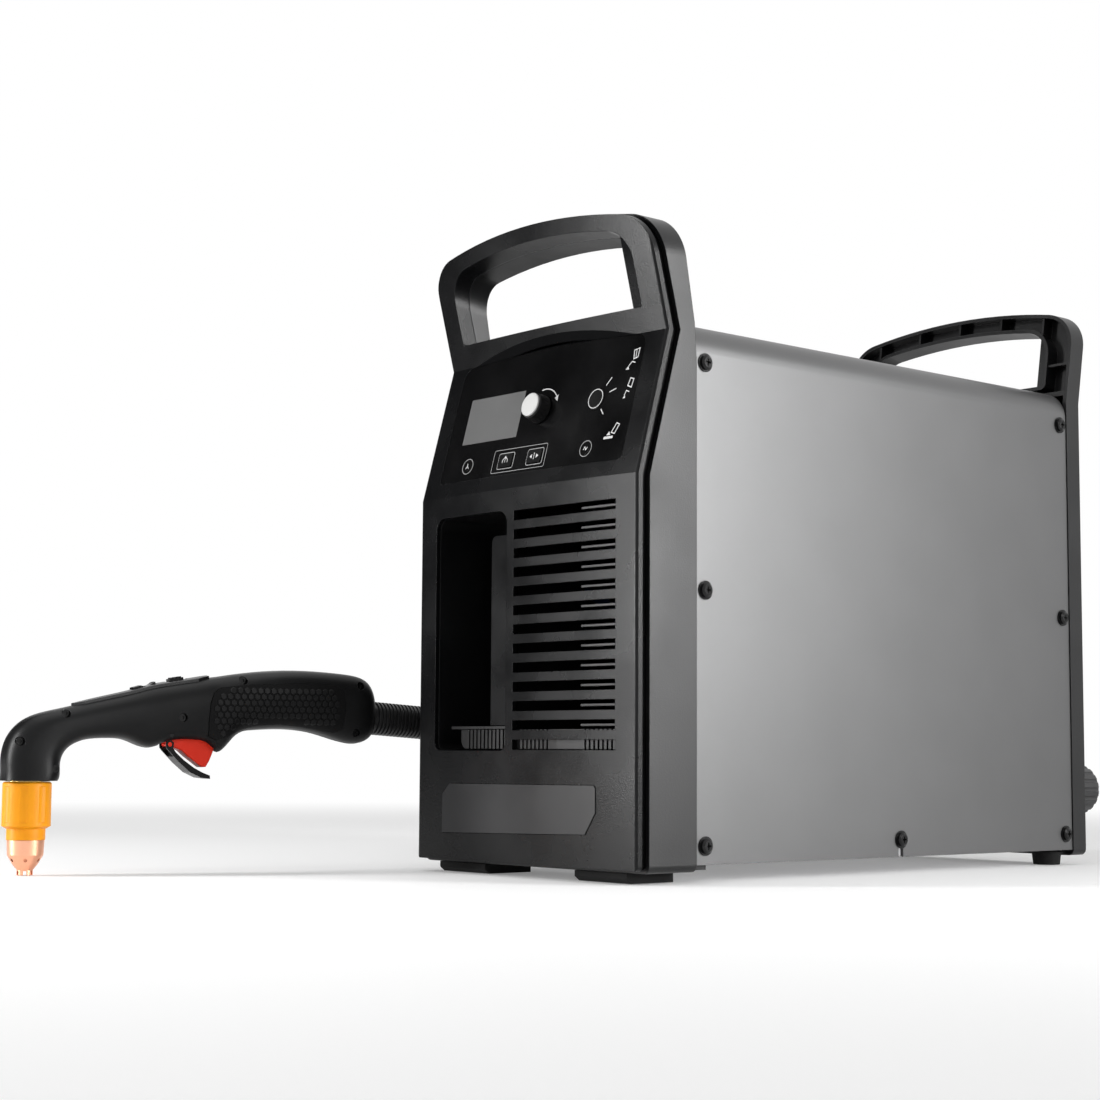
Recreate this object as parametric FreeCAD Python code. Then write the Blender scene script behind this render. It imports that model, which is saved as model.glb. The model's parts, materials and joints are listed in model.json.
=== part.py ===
import FreeCAD, Part
import math
import os
from FreeCAD import Placement, Rotation, Vector

# A plasma cutter power source with its hand torch, in millimetres.
# X points to the right flank, Y to the back, Z up. Everything is drawn from the floor point under
# the case's middle, and saved from the floor point under the middle of the case and torch together.

# Case
BODY_HALF = 117.0           # half the width over the bezels
FRONT_Y = -239.0            # where the bezel flanks meet the front face
FRONT_BAND = 46.2           # depth of the front bezel's flank
COVER_LENGTH = 417.3
REAR_BAND = 16.4            # depth of the rear bezel's flank
BEZEL_BOTTOM = 7.0
WALL = 3.5                  # moulded wall
LINING = 3.0                # wall around the handle windows
GAP = 0.3                   # clearance between assembled mouldings
FRONT_TOP = 455.0           # top of the front handle
REAR_TOP = FRONT_TOP - 3.0  # top of the rear handle
ARCH_RADIUS = 515.0
ARCH_CORNER = 30.0
FOOT_CORNER = 5.0

# Front face
CROWN_RADIUS = 2100.0       # the face bows forward in plan
CROWN_RISE = 9.5
EDGE_RADIUS = 5.0           # rounding from the face to the flanks
CREASE_Z = FRONT_TOP - 88.0     # the face leans forward above this height
KNEE_Z = CREASE_Z - 99.0    # the face leans back above this height
LEAN_BACK = 27.5
TOP_SLOPE = 0.267
BACK_SLOPE = 0.185          # forward lean of the shell's back edge beside the handle
FACE_EDGE = 1.94            # how far the face's edge lies inside the shell's outline
GROOVE_FLOOR = 4.0
GROOVE_FRONT = -1.5
SHELL_FRONT = 2.9
FACE_RIM = 9.0              # how far the face's rim nests into the shell
SEAM = 5.0                  # where the two halves of the handle meet

# Front handle window
WINDOW_HALF = BODY_HALF - 21.5
WINDOW_BOTTOM = FRONT_TOP - 68.5
BAR_HEIGHT = 12.5
WINDOW_CORNER = 22.0
WINDOW_DRAFT = 0.17         # fall of the window towards the back
DECK_Z = FRONT_TOP - 82.0   # underside of the handle's hollow
SCOOP_WIDTH = 15.0
SCOOP_DEPTH = 6.5

# Control panel, in its own plane: X across, S up the slope from the knee
PANEL_HALF = BODY_HALF - 20.0
PANEL_LOW = 10.0
PANEL_HIGH = 105.5
PANEL_ARCH = 1000.0
PANEL_CORNER = 10.0
BROW_SLANT = 34.0           # degrees between the panel's square and the brow's underside
POCKET = 2.0
PANEL_THICK = 1.8
SEAT_THICK = 2.5
DISPLAY = (-81.0, -20.5, 39.4, 75.0)
LENS_THICK = 1.2
KNOB_X = 1.5
KNOB_S = 57.0
KNOB_RADIUS = 10.4
KNOB_TOP = 13.4
KNOB_CAP_RADIUS = 8.6
KNOB_CAP_THICK = 1.4
KNOB_TRAVEL = 0.8
SHAFT_RADIUS = 3.0
SHAFT_FIT = 0.05
MODE_X = 58.3
MODE_S = 58.0
MODE_RADIUS = 7.8
KEY_S = 21.8
KEY_XS = (-25.7, 5.6)
KEY_SIZE = (14.5, 9.4)
KEY_TRAVEL = 0.6
BUTTON_PROUD = 0.9
LAMP_XS = (-68.5, 58.2)
LAMP_RADIUS = 4.4
BOARD_DEPTH = 13.0          # from the panel plane back to the control board
BOARD_THICK = 1.6
STEM_RADIUS = 2.2
STEM_PLACES = [(MODE_X, MODE_S)] + [(x, KEY_S) for x in KEY_XS]
BOSS_PLACES = [(side * (PANEL_HALF - 9.0), s) for side in (-1, 1) for s in (18.0, 92.0)]

# Louvres and connector bay
BAY_LEFT = 21.5 - BODY_HALF
BAY_RIGHT = -14.0
BAY_LOW = 86.0
BAY_HIGH = KNEE_Z - 15.0
BAY_DEPTH = 62.0
BAY_CORNER = 9.0
BAY_WALL = 2.0
BAY_STEP = (23.0, 5.8, 16.5)    # the stepped panel's width, its depth and its drop from the mouth's top
LOUVRE_LEFT = -6.5
LOUVRE_RIGHT = BODY_HALF - 22.0
LOUVRE_TOP = KNEE_Z - 16.0
LOUVRE_PITCH = 13.2
LOUVRE_GAP = 6.9
LOUVRE_COUNT = int((LOUVRE_TOP - LOUVRE_GAP - BAY_LOW) / LOUVRE_PITCH) + 1
VANE_LEFT = LOUVRE_RIGHT - 36.0
VANE_THICK = 1.6
SHELF_Z = 103.0
SHELF_LEFT = BAY_LEFT + 16.5
SHELF_THICK = 2.0
SILL_RADIUS = 6.5
SILL_PITCH = 4.2
RECEPTACLE = (BAY_LEFT + 27.5, BAY_LOW + (BAY_HIGH - BAY_LOW) * 0.7126)
RECEPTACLE_RADIUS = 20.0
PLUG_BORE = 16.0
RELEASE_TRAVEL = 2.5
SOCKET = (BAY_LEFT + 27.5, BAY_LOW + (BAY_HIGH - BAY_LOW) * 0.3353)
SOCKET_RADIUS = 15.0
SOCKET_BORE = 6.6

# Badge
BADGE = ((-84.5, 28.0), (67.8, 31.2), (77.4, 45.5), (77.4, 61.5), (75.6, 63.4), (-76.0, 62.6), (-84.5, 55.0))
BADGE_PROUD = 0.6
BADGE_SUNK = 0.8

# Cover, base and fasteners
SHEET = 1.5
COVER_HALF = BODY_HALF - 1.0
COVER_TOP = FRONT_TOP - 79.0
COVER_LOW = 11.5
COVER_CORNER = 22.0
LIP = 16.0                  # how far the bezel lips reach under the cover
PAN_Z = 12.0
PAN_FLANGE = 33.0
SCREW_INSET = 8.4           # from the cover's ends to its screws
SCREW_ZS = (24.0, COVER_TOP / 2 + 5.5, COVER_TOP - 28.5)
SCREW_HEAD = 5.0
SCREW_SHANK = 2.0
SCREW_PROUD = 3.4
WASHER = 6.4
FOOT_FRONT = (BODY_HALF - 70.0, BODY_HALF - 19.0, 42.0)
FOOT_REAR_RADIUS = 11.5
FOOT_REAR_HEIGHT = 10.0

# Rear
REAR_LEAN = 0.17
REAR_WINDOW_HALF = BODY_HALF - 25.0
REAR_WINDOW_BOTTOM = REAR_TOP - 68.0
REAR_BAR = 14.0
RIB_XS = [k * (REAR_WINDOW_HALF - 6.0) / 2 for k in (-2, -1, 0, 1, 2)]
RIB_THICK = 2.0
REAR_OPENING = BODY_HALF - 14.0
REAR_PANEL_THICK = 2.0
GLAND = (BODY_HALF - 31.0, 58.0)
GLAND_NUT_RADIUS = 20.0
GLAND_REACH = 38.0          # how far the gland stands out behind the rear bezel
GLAND_BORE = 9.0
SWITCH = (BODY_HALF - 47.0, COVER_TOP - 64.0)
SWITCH_DISC = 15.0
INLET = (BODY_HALF - 47.0, 190.0)
INLET_BORE = 4.4
FAN = (-47.0, COVER_TOP - 126.0)
FAN_SIZE = 119.0
FAN_DEPTH = 38.0
FAN_BORE = 56.5
FAN_TIP = 55.0
FAN_BLADES = 7
FAN_PIN = 3.0

# Inside
BULKHEAD_X = 15.0
BULKHEAD_HIGH = COVER_TOP - 31.0
SINK_LOW = BULKHEAD_HIGH - 153.0
SINK_FINS = 10
SINK_PITCH = 12.5
SINK_FIN = 2.0
HOSE_RADIUS = 4.0

# Torch, in its own frame: X from the nozzle axis to the lead, Z up from the nozzle tip
TORCH_TIP = (-BODY_HALF - 98.8, FRONT_Y - 264.5)
NECK_REACH = (18.755, 18.154)   # how far the neck stands past the tip, to the left and to the front
TORCH_HEADING = 78.93
TORCH_WALL = 2.8
SQUARENESS = 0.78           # below 1 squares up the handle's sections
NOZZLE_RADIUS = 12.6
CAP_RADIUS = 16.4
CAP_LOW = 23.7
CAP_STEP = 33.0
CAP_HIGH = 62.8
HEAD_LOW = 63.6
SPIGOT_RADIUS = 10.0
SPIGOT_FIT = 0.05
TRIGGER_PIVOT = (97.0, 95.5)
TRIGGER_HALF = 6.0
TRIGGER_SLOT = 9.2
SAFETY_PIVOT = (98.5, 89.0)
SAFETY_HALF = 7.5
SAFETY_GAP = 0.25
PIN_RADIUS = 1.5
PIN_FIT = 0.03
STRIP_PROUD = 1.8
INLAY_PROUD = 0.5
SCREW_POST = 3.4
TORCH_SCREWS = ((-9.6, 90.2), (21.6, 109.4), (15.6, 71.8), (149.8, 134.6), (241.5, 132.6), (238.4, 98.4),
                (104.2, 107.6))

# Outlines in the torch's side view, except the strip's, which is seen from above
INLAY_OUTLINE = ((133, 129), (155, 131.6), (199, 133.6), (220, 132.8), (226.5, 129), (228, 118),
                 (226.5, 101), (221, 98), (195, 102.6), (177, 104), (162, 103), (149.5, 100), (138, 95),
                 (130, 92), (124, 95), (123, 105), (124, 118), (127, 125.5))
STRIP_OUTLINE = ((30.0, -3.0), (36.0, -7.5), (118.0, -9.5), (127.0, -6.0),
                 (127.0, 6.0), (118.0, 9.5), (36.0, 7.5), (30.0, 3.0))
ROCKER = (72.0, 88.0)
ROCKER_PIVOT = (80.0, 122.5)
ROCKER_GAP = 0.8
LOCK = (99.0, 109.0)
LOCK_TRAVEL = 2.5
LOCK_SLOPE = 0.165
TRIGGER_OUTLINE = ((93.2, 93.0), (93.2, 98.0), (96.0, 100.0), (126.0, 100.0), (131.5, 96.0),
                   (132.3, 88.0), (131.0, 83.0), (128.8, 77.6), (126.2, 73.2), (123.1, 73.0),
                   (117.9, 76.8), (112.6, 80.6), (107.4, 85.0), (101.3, 87.0))
SAFETY_OUTLINE = ((96.0, 86.6), (97.6, 84.6), (105.6, 76.4), (113.9, 69.4), (122.2, 65.6),
                  (128.8, 64.8), (128.6, 67.2), (123.0, 69.3), (116.5, 72.7), (109.0, 78.0),
                  (103.0, 83.4), (101.2, 86.0), (101.4, 90.4), (98.5, 92.0), (95.6, 90.4))
SPRING_X = 120.0
SPRING_LOW = 97.5
SPRING_HIGH = 112.0

# Handle stations: the outer point of the side view, the inner point, and the width
HANDLE_STATIONS = (
    ((-17.8, HEAD_LOW), (19.4, HEAD_LOW), 37.0),
    ((-17.8, 76.5), (20.8, 74.0), 37.0),
    ((-14.6, 92.5), (24.6, 84.5), 36.5),
    ((-3.0, 105.5), (33.0, 90.0), 35.5),
    ((20.0, 113.0), (44.0, 92.5), 34.5),
    ((45.0, 119.0), (57.0, 93.0), 34.0),
    ((70.0, 125.0), (71.0, 90.5), 34.5),
    ((84.0, 129.0), (84.0, 86.5), 35.5),
    ((97.0, 131.5), (97.0, 90.0), 36.5),
    ((115.0, 134.5), (115.0, 91.0), 37.5),
    ((125.0, 136.2), (125.5, 88.5), 38.0),
    ((133.0, 137.2), (133.5, 83.0), 38.5),
    ((143.0, 138.8), (144.5, 92.5), 39.0),
    ((163.0, 141.5), (162.5, 99.6), 39.5),
    ((188.0, 143.2), (187.5, 100.4), 39.5),
    ((212.0, 143.0), (211.5, 97.2), 39.0),
    ((233.0, 141.6), (232.0, 91.6), 38.0),
    ((247.0, 138.6), (245.5, 90.8), 36.5),
    ((254.0, 129.0), (254.0, 96.0), 29.0),
)

# Lead
LEAD_RADIUS = 7.5
SLEEVE_START = 253.0
SLEEVE_Z = 109.8
SLEEVE_LENGTH = 114.0
SLEEVE_RADIUS = 12.3
SLEEVE_ROOT = 10.9          # between its ribs
SLEEVE_PITCH = 3.0
SLEEVE_DROP = 4.0           # degrees below level
SLEEVE_GRIP = 12.0          # how far the lead reaches into the sleeve's end
COIL_CENTRE = (-BODY_HALF - 158.0, 86.0)
COIL_RADIUS = 129.5         # outermost turn, to the lead's middle
COIL_PITCH = 15.7
COIL_LAYERS = 4
COIL_TURNS = 2.5            # turns in each layer
COIL_TOP = LEAD_RADIUS + (COIL_LAYERS - 1) * COIL_PITCH
LEAD_END = 2 * LEAD_RADIUS
LEAD_JOINT = 0.35           # half the gap between the lead's stretches
RUN_POINTS = ((-17.5, -64.0, 80.0), (-18.5, -20.0, 46.0), (-22.0, 16.0, 19.0), (-27.0, 46.0, 8.6))
TAIL_POINTS = ((-27.0, 137.0, 51.0), (-43.0, 182.0, 33.0), (-74.0, 213.0, 15.0), (-112.0, 231.0, 7.5),
               (-151.0, 238.5, 8.2), (-189.0, 237.0, 13.0))
PLUG_START = (-BODY_HALF - 225.0, 226.0, 18.0)
PLUG_HEADING = 201.0
PLUG_RADIUS = 18.0
PLUG_LENGTH = 62.0
BOOT_LENGTH = 46.0

# Places that follow from the sizes above
FACE_Y = FRONT_Y - CROWN_RISE
COVER_Y0 = FRONT_Y + FRONT_BAND + GAP
COVER_Y1 = COVER_Y0 + COVER_LENGTH
REAR_Y = COVER_Y1 + GAP
BACK_Y = REAR_Y + REAR_BAND
PANEL_BACK = BACK_Y - LINING - 0.1      # back face of the rear panel
PANEL_FRONT = PANEL_BACK - REAR_PANEL_THICK
VENT_FRONT = FACE_Y + WALL + 0.4
VENT_BACK = FRONT_Y + 12
SILL_LEFT = SHELF_LEFT + 11
SILL_LOW = BAY_LOW + 1.2
FLOOR_Z = PAN_Z + SHEET
BULK_Y0 = FRONT_Y + BAY_DEPTH + 80
BULK_Y1 = PANEL_FRONT - 52
BOARD_X = BULKHEAD_X + SHEET + 12
MODULE_LOW = BULKHEAD_HIGH - 125
VALVE = (BODY_HALF - 45.0, FRONT_Y + BAY_DEPTH + 40)
FOOT_REAR = (BODY_HALF - 16.5, REAR_Y - 13.0)
MIDDLE = ((COVER_HALF + SCREW_PROUD + TORCH_TIP[0] - NECK_REACH[0]) / 2,
          (BACK_Y + GLAND_REACH + TORCH_TIP[1] - NECK_REACH[1]) / 2)
FAR = 160.0                 # beyond the case, for cutting shapes


# Basic shapes
def box(x0, x1, y0, y1, z0, z1):
    return Part.makeBox(x1 - x0, y1 - y0, z1 - z0, Vector(x0, y0, z0))


def rod(radius, start, end):
    axis = Vector(*end) - Vector(*start)
    return Part.makeCylinder(radius, axis.Length, Vector(*start), axis)


def cone(r0, r1, start, end):
    axis = Vector(*end) - Vector(*start)
    return Part.makeCone(r0, r1, axis.Length, Vector(*start), axis)


def fuse(shapes):
    first, *rest = shapes
    return first.fuse(rest).removeSplitter() if rest else first


def polygon(points):
    corners = [Vector(*p) for p in points]
    return Part.Face(Part.makePolygon(corners + corners[:1]))


def prism_x(points, x0, x1):
    """A solid between two X planes from a side view of (Y, Z) points."""
    return polygon([(x0, y, z) for y, z in points]).extrude(Vector(x1 - x0, 0, 0))


def prism_y(points, y0, y1):
    """A solid between two Y planes from a front view of (X, Z) points."""
    return polygon([(x, y0, z) for x, z in points]).extrude(Vector(0, y1 - y0, 0))


def arc(a, b, c):
    return Part.Arc(Vector(*a), Vector(*b), Vector(*c)).toShape()


def line(a, b):
    return Part.LineSegment(Vector(*a), Vector(*b)).toShape()


def arch_face(half, low, high, arch, corner, foot, inset=0.0):
    """A flat face in XY: straight flanks, an arched top with tangent corners, rounded feet."""
    centre = high - arch
    cx = half - corner
    cy = centre + math.sqrt((arch - corner) ** 2 - cx ** 2)
    side = half - inset
    bottom = low + inset
    top_r = arch - inset
    corner_r = corner - inset
    reach = math.hypot(cx, cy - centre)
    tx, ty = cx * top_r / reach, centre + (cy - centre) * top_r / reach
    middle = math.atan2(ty - cy, tx - cx) / 2
    mx, my = cx + corner_r * math.cos(middle), cy + corner_r * math.sin(middle)
    foot_r = max(foot - inset, 0.6)
    off = foot_r * (1 - math.sqrt(0.5))
    edges = [
        line((side, bottom + foot_r, 0), (side, cy, 0)),
        arc((side, cy, 0), (mx, my, 0), (tx, ty, 0)),
        arc((tx, ty, 0), (0, high - inset, 0), (-tx, ty, 0)),
        arc((-tx, ty, 0), (-mx, my, 0), (-side, cy, 0)),
        line((-side, cy, 0), (-side, bottom + foot_r, 0)),
        arc((-side, bottom + foot_r, 0), (off - side, bottom + off, 0), (foot_r - side, bottom, 0)),
        line((foot_r - side, bottom, 0), (side - foot_r, bottom, 0)),
        arc((side - foot_r, bottom, 0), (side - off, bottom + off, 0), (side, bottom + foot_r, 0)),
    ]
    return Part.Face(Part.Wire(edges))


def upright(face, y):
    """Stands a face that was drawn in XY up in the XZ plane at this Y."""
    standing = face.copy()
    standing.Placement = Placement(Vector(0, y, 0), Rotation(Vector(1, 0, 0), 90))
    return standing


def mirrored(shape):
    return shape.mirror(Vector(0, 0, 0), Vector(1, 0, 0))


def save(name, shapes):
    solids = shapes if isinstance(shapes, list) else [shapes]
    shape = solids[0] if len(solids) == 1 else Part.makeCompound(solids)
    if not shape.isValid() or any(len(s.Solids) != 1 for s in solids):
        print("check", name, shape.isValid(), [len(s.Solids) for s in solids])
    shape.translate(Vector(-MIDDLE[0], -MIDDLE[1], 0))
    shape.exportStep("parts/" + name + ".step")


# Front form: a crowned plan outline carried up a side profile that leans back and then forward
FRONT_LINE = ((FACE_Y, -20.0), (FACE_Y, KNEE_Z), (FACE_Y + LEAN_BACK, CREASE_Z),
              (FACE_Y + LEAN_BACK - TOP_SLOPE * (FRONT_TOP + ARCH_CORNER - CREASE_Z),
               FRONT_TOP + ARCH_CORNER))


def stretches():
    """Start, direction and length of each straight stretch of the front line, as (Y, Z) pairs."""
    found = []
    for (y0, z0), (y1, z1) in zip(FRONT_LINE, FRONT_LINE[1:]):
        length = math.hypot(y1 - y0, z1 - z0)
        found.append(((y0, z0), ((y1 - y0) / length, (z1 - z0) / length), length))
    return found


def offset_line(depth):
    """The front line moved back, square to itself, with mitred corners."""
    ways = [way for _, way, _ in stretches()]
    ways = ways[:1] + ways + ways[-1:]
    points = []
    for (y, z), (ay, az), (by, bz) in zip(FRONT_LINE, ways, ways[1:]):
        scale = depth / (1 + ay * by + az * bz)
        points.append((y + (az + bz) * scale, z - (ay + by) * scale))
    return points


def plan_face(inset):
    """The plan outline in X and depth behind the front line."""
    crown = CROWN_RADIUS - inset
    edge = EDGE_RADIUS - inset
    side = BODY_HALF - inset
    cx = BODY_HALF - EDGE_RADIUS
    reach = CROWN_RADIUS - EDGE_RADIUS
    cy = CROWN_RADIUS - math.sqrt(reach ** 2 - cx ** 2)
    tx, ty = cx * crown / reach, CROWN_RADIUS - (CROWN_RADIUS - cy) * crown / reach
    middle = math.atan2(ty - cy, tx - cx) / 2
    mx, my = cx + edge * math.cos(middle), cy + edge * math.sin(middle)
    return Part.Face(Part.Wire([
        line((side, FAR, 0), (side, cy, 0)),
        arc((side, cy, 0), (mx, my, 0), (tx, ty, 0)),
        arc((tx, ty, 0), (0, inset, 0), (-tx, ty, 0)),
        arc((-tx, ty, 0), (-mx, my, 0), (-side, cy, 0)),
        line((-side, cy, 0), (-side, FAR, 0)),
        line((-side, FAR, 0), (side, FAR, 0)),
    ]))


def leaning(face, wanted=(0, 1, 2)):
    """Carries a plan face up the front line, mitred where the line turns."""
    near, far = offset_line(-20.0), offset_line(FAR)
    pieces = []
    for i, ((y, z), (dy, dz), length) in enumerate(stretches()):
        if i not in wanted:
            continue
        foot = face.copy()
        lean = -math.degrees(math.atan2(dy, dz))
        foot.Placement = Placement(Vector(0, y, z), Rotation(Vector(1, 0, 0), lean))
        overrun = Vector(0, dy, dz) * (FAR / 2)
        foot.translate(overrun * -1)
        column = foot.extrude(Vector(0, dy, dz) * (length + FAR))
        pieces.append(column.common(prism_x([near[i], far[i], far[i + 1], near[i + 1]], -2 * FAR, 2 * FAR)))
    return fuse(pieces)


def front_form(inset, wanted=(0, 1, 2)):
    return leaning(plan_face(inset), wanted)


def front_slab(y0, y1):
    """The space between two offsets behind the flank line, at every height."""
    points = offset_line(y0 + CROWN_RISE) + offset_line(y1 + CROWN_RISE)[::-1]
    return prism_x(points, -FAR, FAR)


def case_outline(top, inset, y0, y1):
    face = arch_face(BODY_HALF, BEZEL_BOTTOM, top, ARCH_RADIUS, ARCH_CORNER, FOOT_CORNER, inset)
    return upright(face, y0).extrude(Vector(0, y1 - y0, 0))


def front_outline(inset):
    return case_outline(FRONT_TOP, inset, FRONT_Y - FAR, FRONT_Y + FAR)


def band_profile(inset):
    """The front shell's side view, from well in front of it to its back edge."""
    y = FRONT_Y + FRONT_BAND - inset
    high = FRONT_TOP + ARCH_CORNER
    points = [(FRONT_Y - FAR, 0), (y, 0), (y, CREASE_Z - 22), (y - 1.8, CREASE_Z + 6)]
    points += [(y - 1.8 - BACK_SLOPE * (high - CREASE_Z - 6), high), (FRONT_Y - FAR, high)]
    return prism_x(points, -FAR, FAR)


def handle_window(half, low, high, outset, mouth):
    """A window with an arched top that falls towards the back; heights are those at the mouth."""
    fall = math.atan(WINDOW_DRAFT)
    scale = math.cos(fall)
    face = arch_face(half, low * scale, high * scale, ARCH_RADIUS, WINDOW_CORNER, 2.0, -outset)
    face.Placement = Placement(Vector(0, mouth, 0), Rotation(Vector(1, 0, 0), 90 - math.degrees(fall)))
    back = Vector(0, math.cos(fall), -math.sin(fall))
    face.translate(back * -FAR)
    return face.extrude(back * (2 * FAR))


def scoop_block(outset):
    """The material left standing behind the thumb scoop at the window's right side."""
    x0, x1 = WINDOW_HALF - SCOOP_WIDTH + outset, WINDOW_HALF + 6.0
    surface = WINDOW_HALF ** 2 / (2 * CROWN_RADIUS)
    fall = SCOOP_DEPTH / SCOOP_WIDTH
    reach = outset * math.hypot(1, fall)
    near = [surface + (WINDOW_HALF - x) * fall + reach for x in (x0, x1)]
    return leaning(polygon([(x0, near[0], 0), (x1, near[1], 0), (x1, FAR / 2, 0), (x0, FAR / 2, 0)]), (2,))


def front_window(outset):
    mouth = FACE_Y + LEAN_BACK - TOP_SLOPE * (FRONT_TOP - BAR_HEIGHT - CREASE_Z)
    window = handle_window(WINDOW_HALF, WINDOW_BOTTOM, FRONT_TOP - BAR_HEIGHT, outset, mouth)
    return window.cut(scoop_block(outset))


# Panel frame
PANEL_TILT = math.degrees(math.atan(LEAN_BACK / (CREASE_Z - KNEE_Z)))
PANEL_DEPTH = PANEL_HALF ** 2 / (2 * CROWN_RADIUS) + POCKET
PANEL_FRAME = Placement(Vector(0, FACE_Y + PANEL_DEPTH / math.cos(math.radians(PANEL_TILT)), KNEE_Z),
                        Rotation(Vector(1, 0, 0), 90 - PANEL_TILT))


def on_panel(shape):
    """Moves a shape drawn flat, with the panel's floor at Z 0, into the leaning panel."""
    placed = shape.copy()
    placed.Placement = PANEL_FRAME.multiply(placed.Placement)
    return placed


def panel_prism(inset, z0, z1):
    face = arch_face(PANEL_HALF, PANEL_LOW, PANEL_HIGH, PANEL_ARCH, PANEL_CORNER, 4.0, inset)
    face.translate(Vector(0, 0, z0))
    return face.extrude(Vector(0, 0, z1 - z0))


def key_block(x, size, z0, z1, clearance=0.0):
    half_x, half_s = size[0] / 2 + clearance, size[1] / 2 + clearance
    return box(x - half_x, x + half_x, KEY_S - half_s, KEY_S + half_s, z0, z1)


def panel_openings(clearance, z0, z1):
    """Holes for the mode button, the two keys and the lamps."""
    cuts = [rod(MODE_RADIUS + clearance, (MODE_X, MODE_S, z0), (MODE_X, MODE_S, z1))]
    cuts += [key_block(x, KEY_SIZE, z0, z1, clearance) for x in KEY_XS]
    cuts += [rod(LAMP_RADIUS + clearance, (x, KEY_S, z0), (x, KEY_S, z1)) for x in LAMP_XS]
    return cuts


def panel_seat():
    seat = panel_prism(-2.0, -SEAT_THICK, 0)
    bosses = [rod(3.5, (x, s, -BOARD_DEPTH), (x, s, -SEAT_THICK + 1)) for x, s in BOSS_PLACES]
    return on_panel(seat.fuse(bosses))


def seat_cuts():
    x0, x1, s0, s1 = DISPLAY
    cuts = [box(x0 + 2, x1 - 2, s0 + 2, s1 - 2, -9, 9)]
    cuts.append(rod(SHAFT_RADIUS + 1.5, (KNOB_X, KNOB_S, -9), (KNOB_X, KNOB_S, 9)))
    cuts += [rod(STEM_RADIUS + GAP, (x, s, -9), (x, s, 9)) for x, s in STEM_PLACES]
    cuts += [rod(LAMP_RADIUS - 1.5, (x, KEY_S, -9), (x, KEY_S, 9)) for x in LAMP_XS]
    return [on_panel(c) for c in cuts]


def panel_pocket():
    """The pocket's straight cut and the slanted cut that makes the arched brow over it."""
    straight = on_panel(panel_prism(0, 0, 30))
    brow = arch_face(PANEL_HALF - 1.0, PANEL_LOW + 40, PANEL_HIGH - 0.7, PANEL_ARCH, PANEL_CORNER, 4.0)
    brow.rotate(Vector(0, PANEL_HIGH, 0), Vector(1, 0, 0), -BROW_SLANT)
    slant = math.radians(BROW_SLANT)
    brow = brow.extrude(Vector(0, math.sin(slant), math.cos(slant)) * 40)
    return [straight, on_panel(brow)]


# Openings of the face
def bay_mouth(outset, y0, y1):
    half = (BAY_RIGHT - BAY_LEFT) / 2
    face = arch_face(half, BAY_LOW, BAY_HIGH, 4000.0, BAY_CORNER, 6.0, -outset)
    standing = upright(face, y0).extrude(Vector(0, y1 - y0, 0))
    standing.translate(Vector((BAY_RIGHT + BAY_LEFT) / 2, 0, 0))
    return standing


def bay_step(clearance=0.0):
    """The panel set back behind the right side of the bay's mouth, over the shelf."""
    width, depth, drop = BAY_STEP
    left, right, high = BAY_RIGHT - width, BAY_RIGHT + LINING, BAY_HIGH - drop
    panel = box(left, right, FACE_Y + depth, FACE_Y + depth + LINING, SHELF_Z + 0.5, high)
    corner = [e for e in panel.Edges
              if abs(e.CenterOfMass.x - left) < 0.1 and abs(e.CenterOfMass.z - high) < 0.1]
    panel = panel.makeFillet(5.0, corner)
    side = box(BAY_RIGHT, right, FACE_Y + WALL - 1, FACE_Y + depth + 1, SHELF_Z + 0.5, high)
    if not clearance:
        return panel.fuse(side)
    return box(left - clearance, right + clearance, FACE_Y, FACE_Y + depth + LINING + clearance,
               SHELF_Z + 0.5 - clearance, high + clearance)


def louvre_slots():
    slots = []
    for i in range(LOUVRE_COUNT):
        top = LOUVRE_TOP - i * LOUVRE_PITCH
        slots.append(box(LOUVRE_LEFT, LOUVRE_RIGHT, FRONT_Y - 20, FRONT_Y + 1, top - LOUVRE_GAP, top))
    return slots


def badge_solid(clearance, proud, sunk):
    """A slice of the crowned face between two offsets, cut to the badge's outline."""
    cx = sum(x for x, _ in BADGE) / len(BADGE)
    cz = sum(z for _, z in BADGE) / len(BADGE)
    half_x = max(abs(x - cx) for x, _ in BADGE)
    half_z = max(abs(z - cz) for _, z in BADGE)
    grow_x, grow_z = 1 + clearance / half_x, 1 + clearance / half_z
    outline = [(cx + (x - cx) * grow_x, cz + (z - cz) * grow_z) for x, z in BADGE]
    column = prism_y(outline, FRONT_Y - 20, FRONT_Y + 1)
    return column.common(front_form(-proud)).cut(front_form(sunk))


def front_face():
    lid = front_form(0).common(front_outline(FACE_EDGE)).common(front_slab(-FAR / 2, GROOVE_FRONT))
    rim = front_form(0).common(front_outline(GROOVE_FLOOR)).common(front_slab(GROOVE_FRONT, FACE_RIM))
    hollow = front_form(WALL).common(front_outline(GROOVE_FLOOR + LINING))
    hollow = hollow.cut(front_window(LINING))
    face = lid.fuse(rim).cut(hollow)
    face = face.cut(front_window(LINING + 0.5).common(front_slab(SEAM, FAR)))
    inner = front_form(0.5).common(front_outline(GROOVE_FLOOR + 0.5))
    face = face.fuse([panel_seat().common(inner), bay_step()])
    mouth = bay_mouth(0, FRONT_Y - 30, FRONT_Y + 8).cut(bay_step())
    face = face.cut([front_window(0), mouth, badge_solid(0.2, 5.0, BADGE_SUNK)])
    return face.cut(panel_pocket() + louvre_slots() + seat_cuts()).removeSplitter()


def side_lips(y0, y1):
    """Vertical strips under the cover's edges that its screws go into."""
    outer = COVER_HALF - SHEET - 0.2
    strip = box(outer - LINING, outer, y0, y1, PAN_Z + 2, COVER_TOP - COVER_CORNER - 4)
    return [strip, mirrored(strip)]


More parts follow.
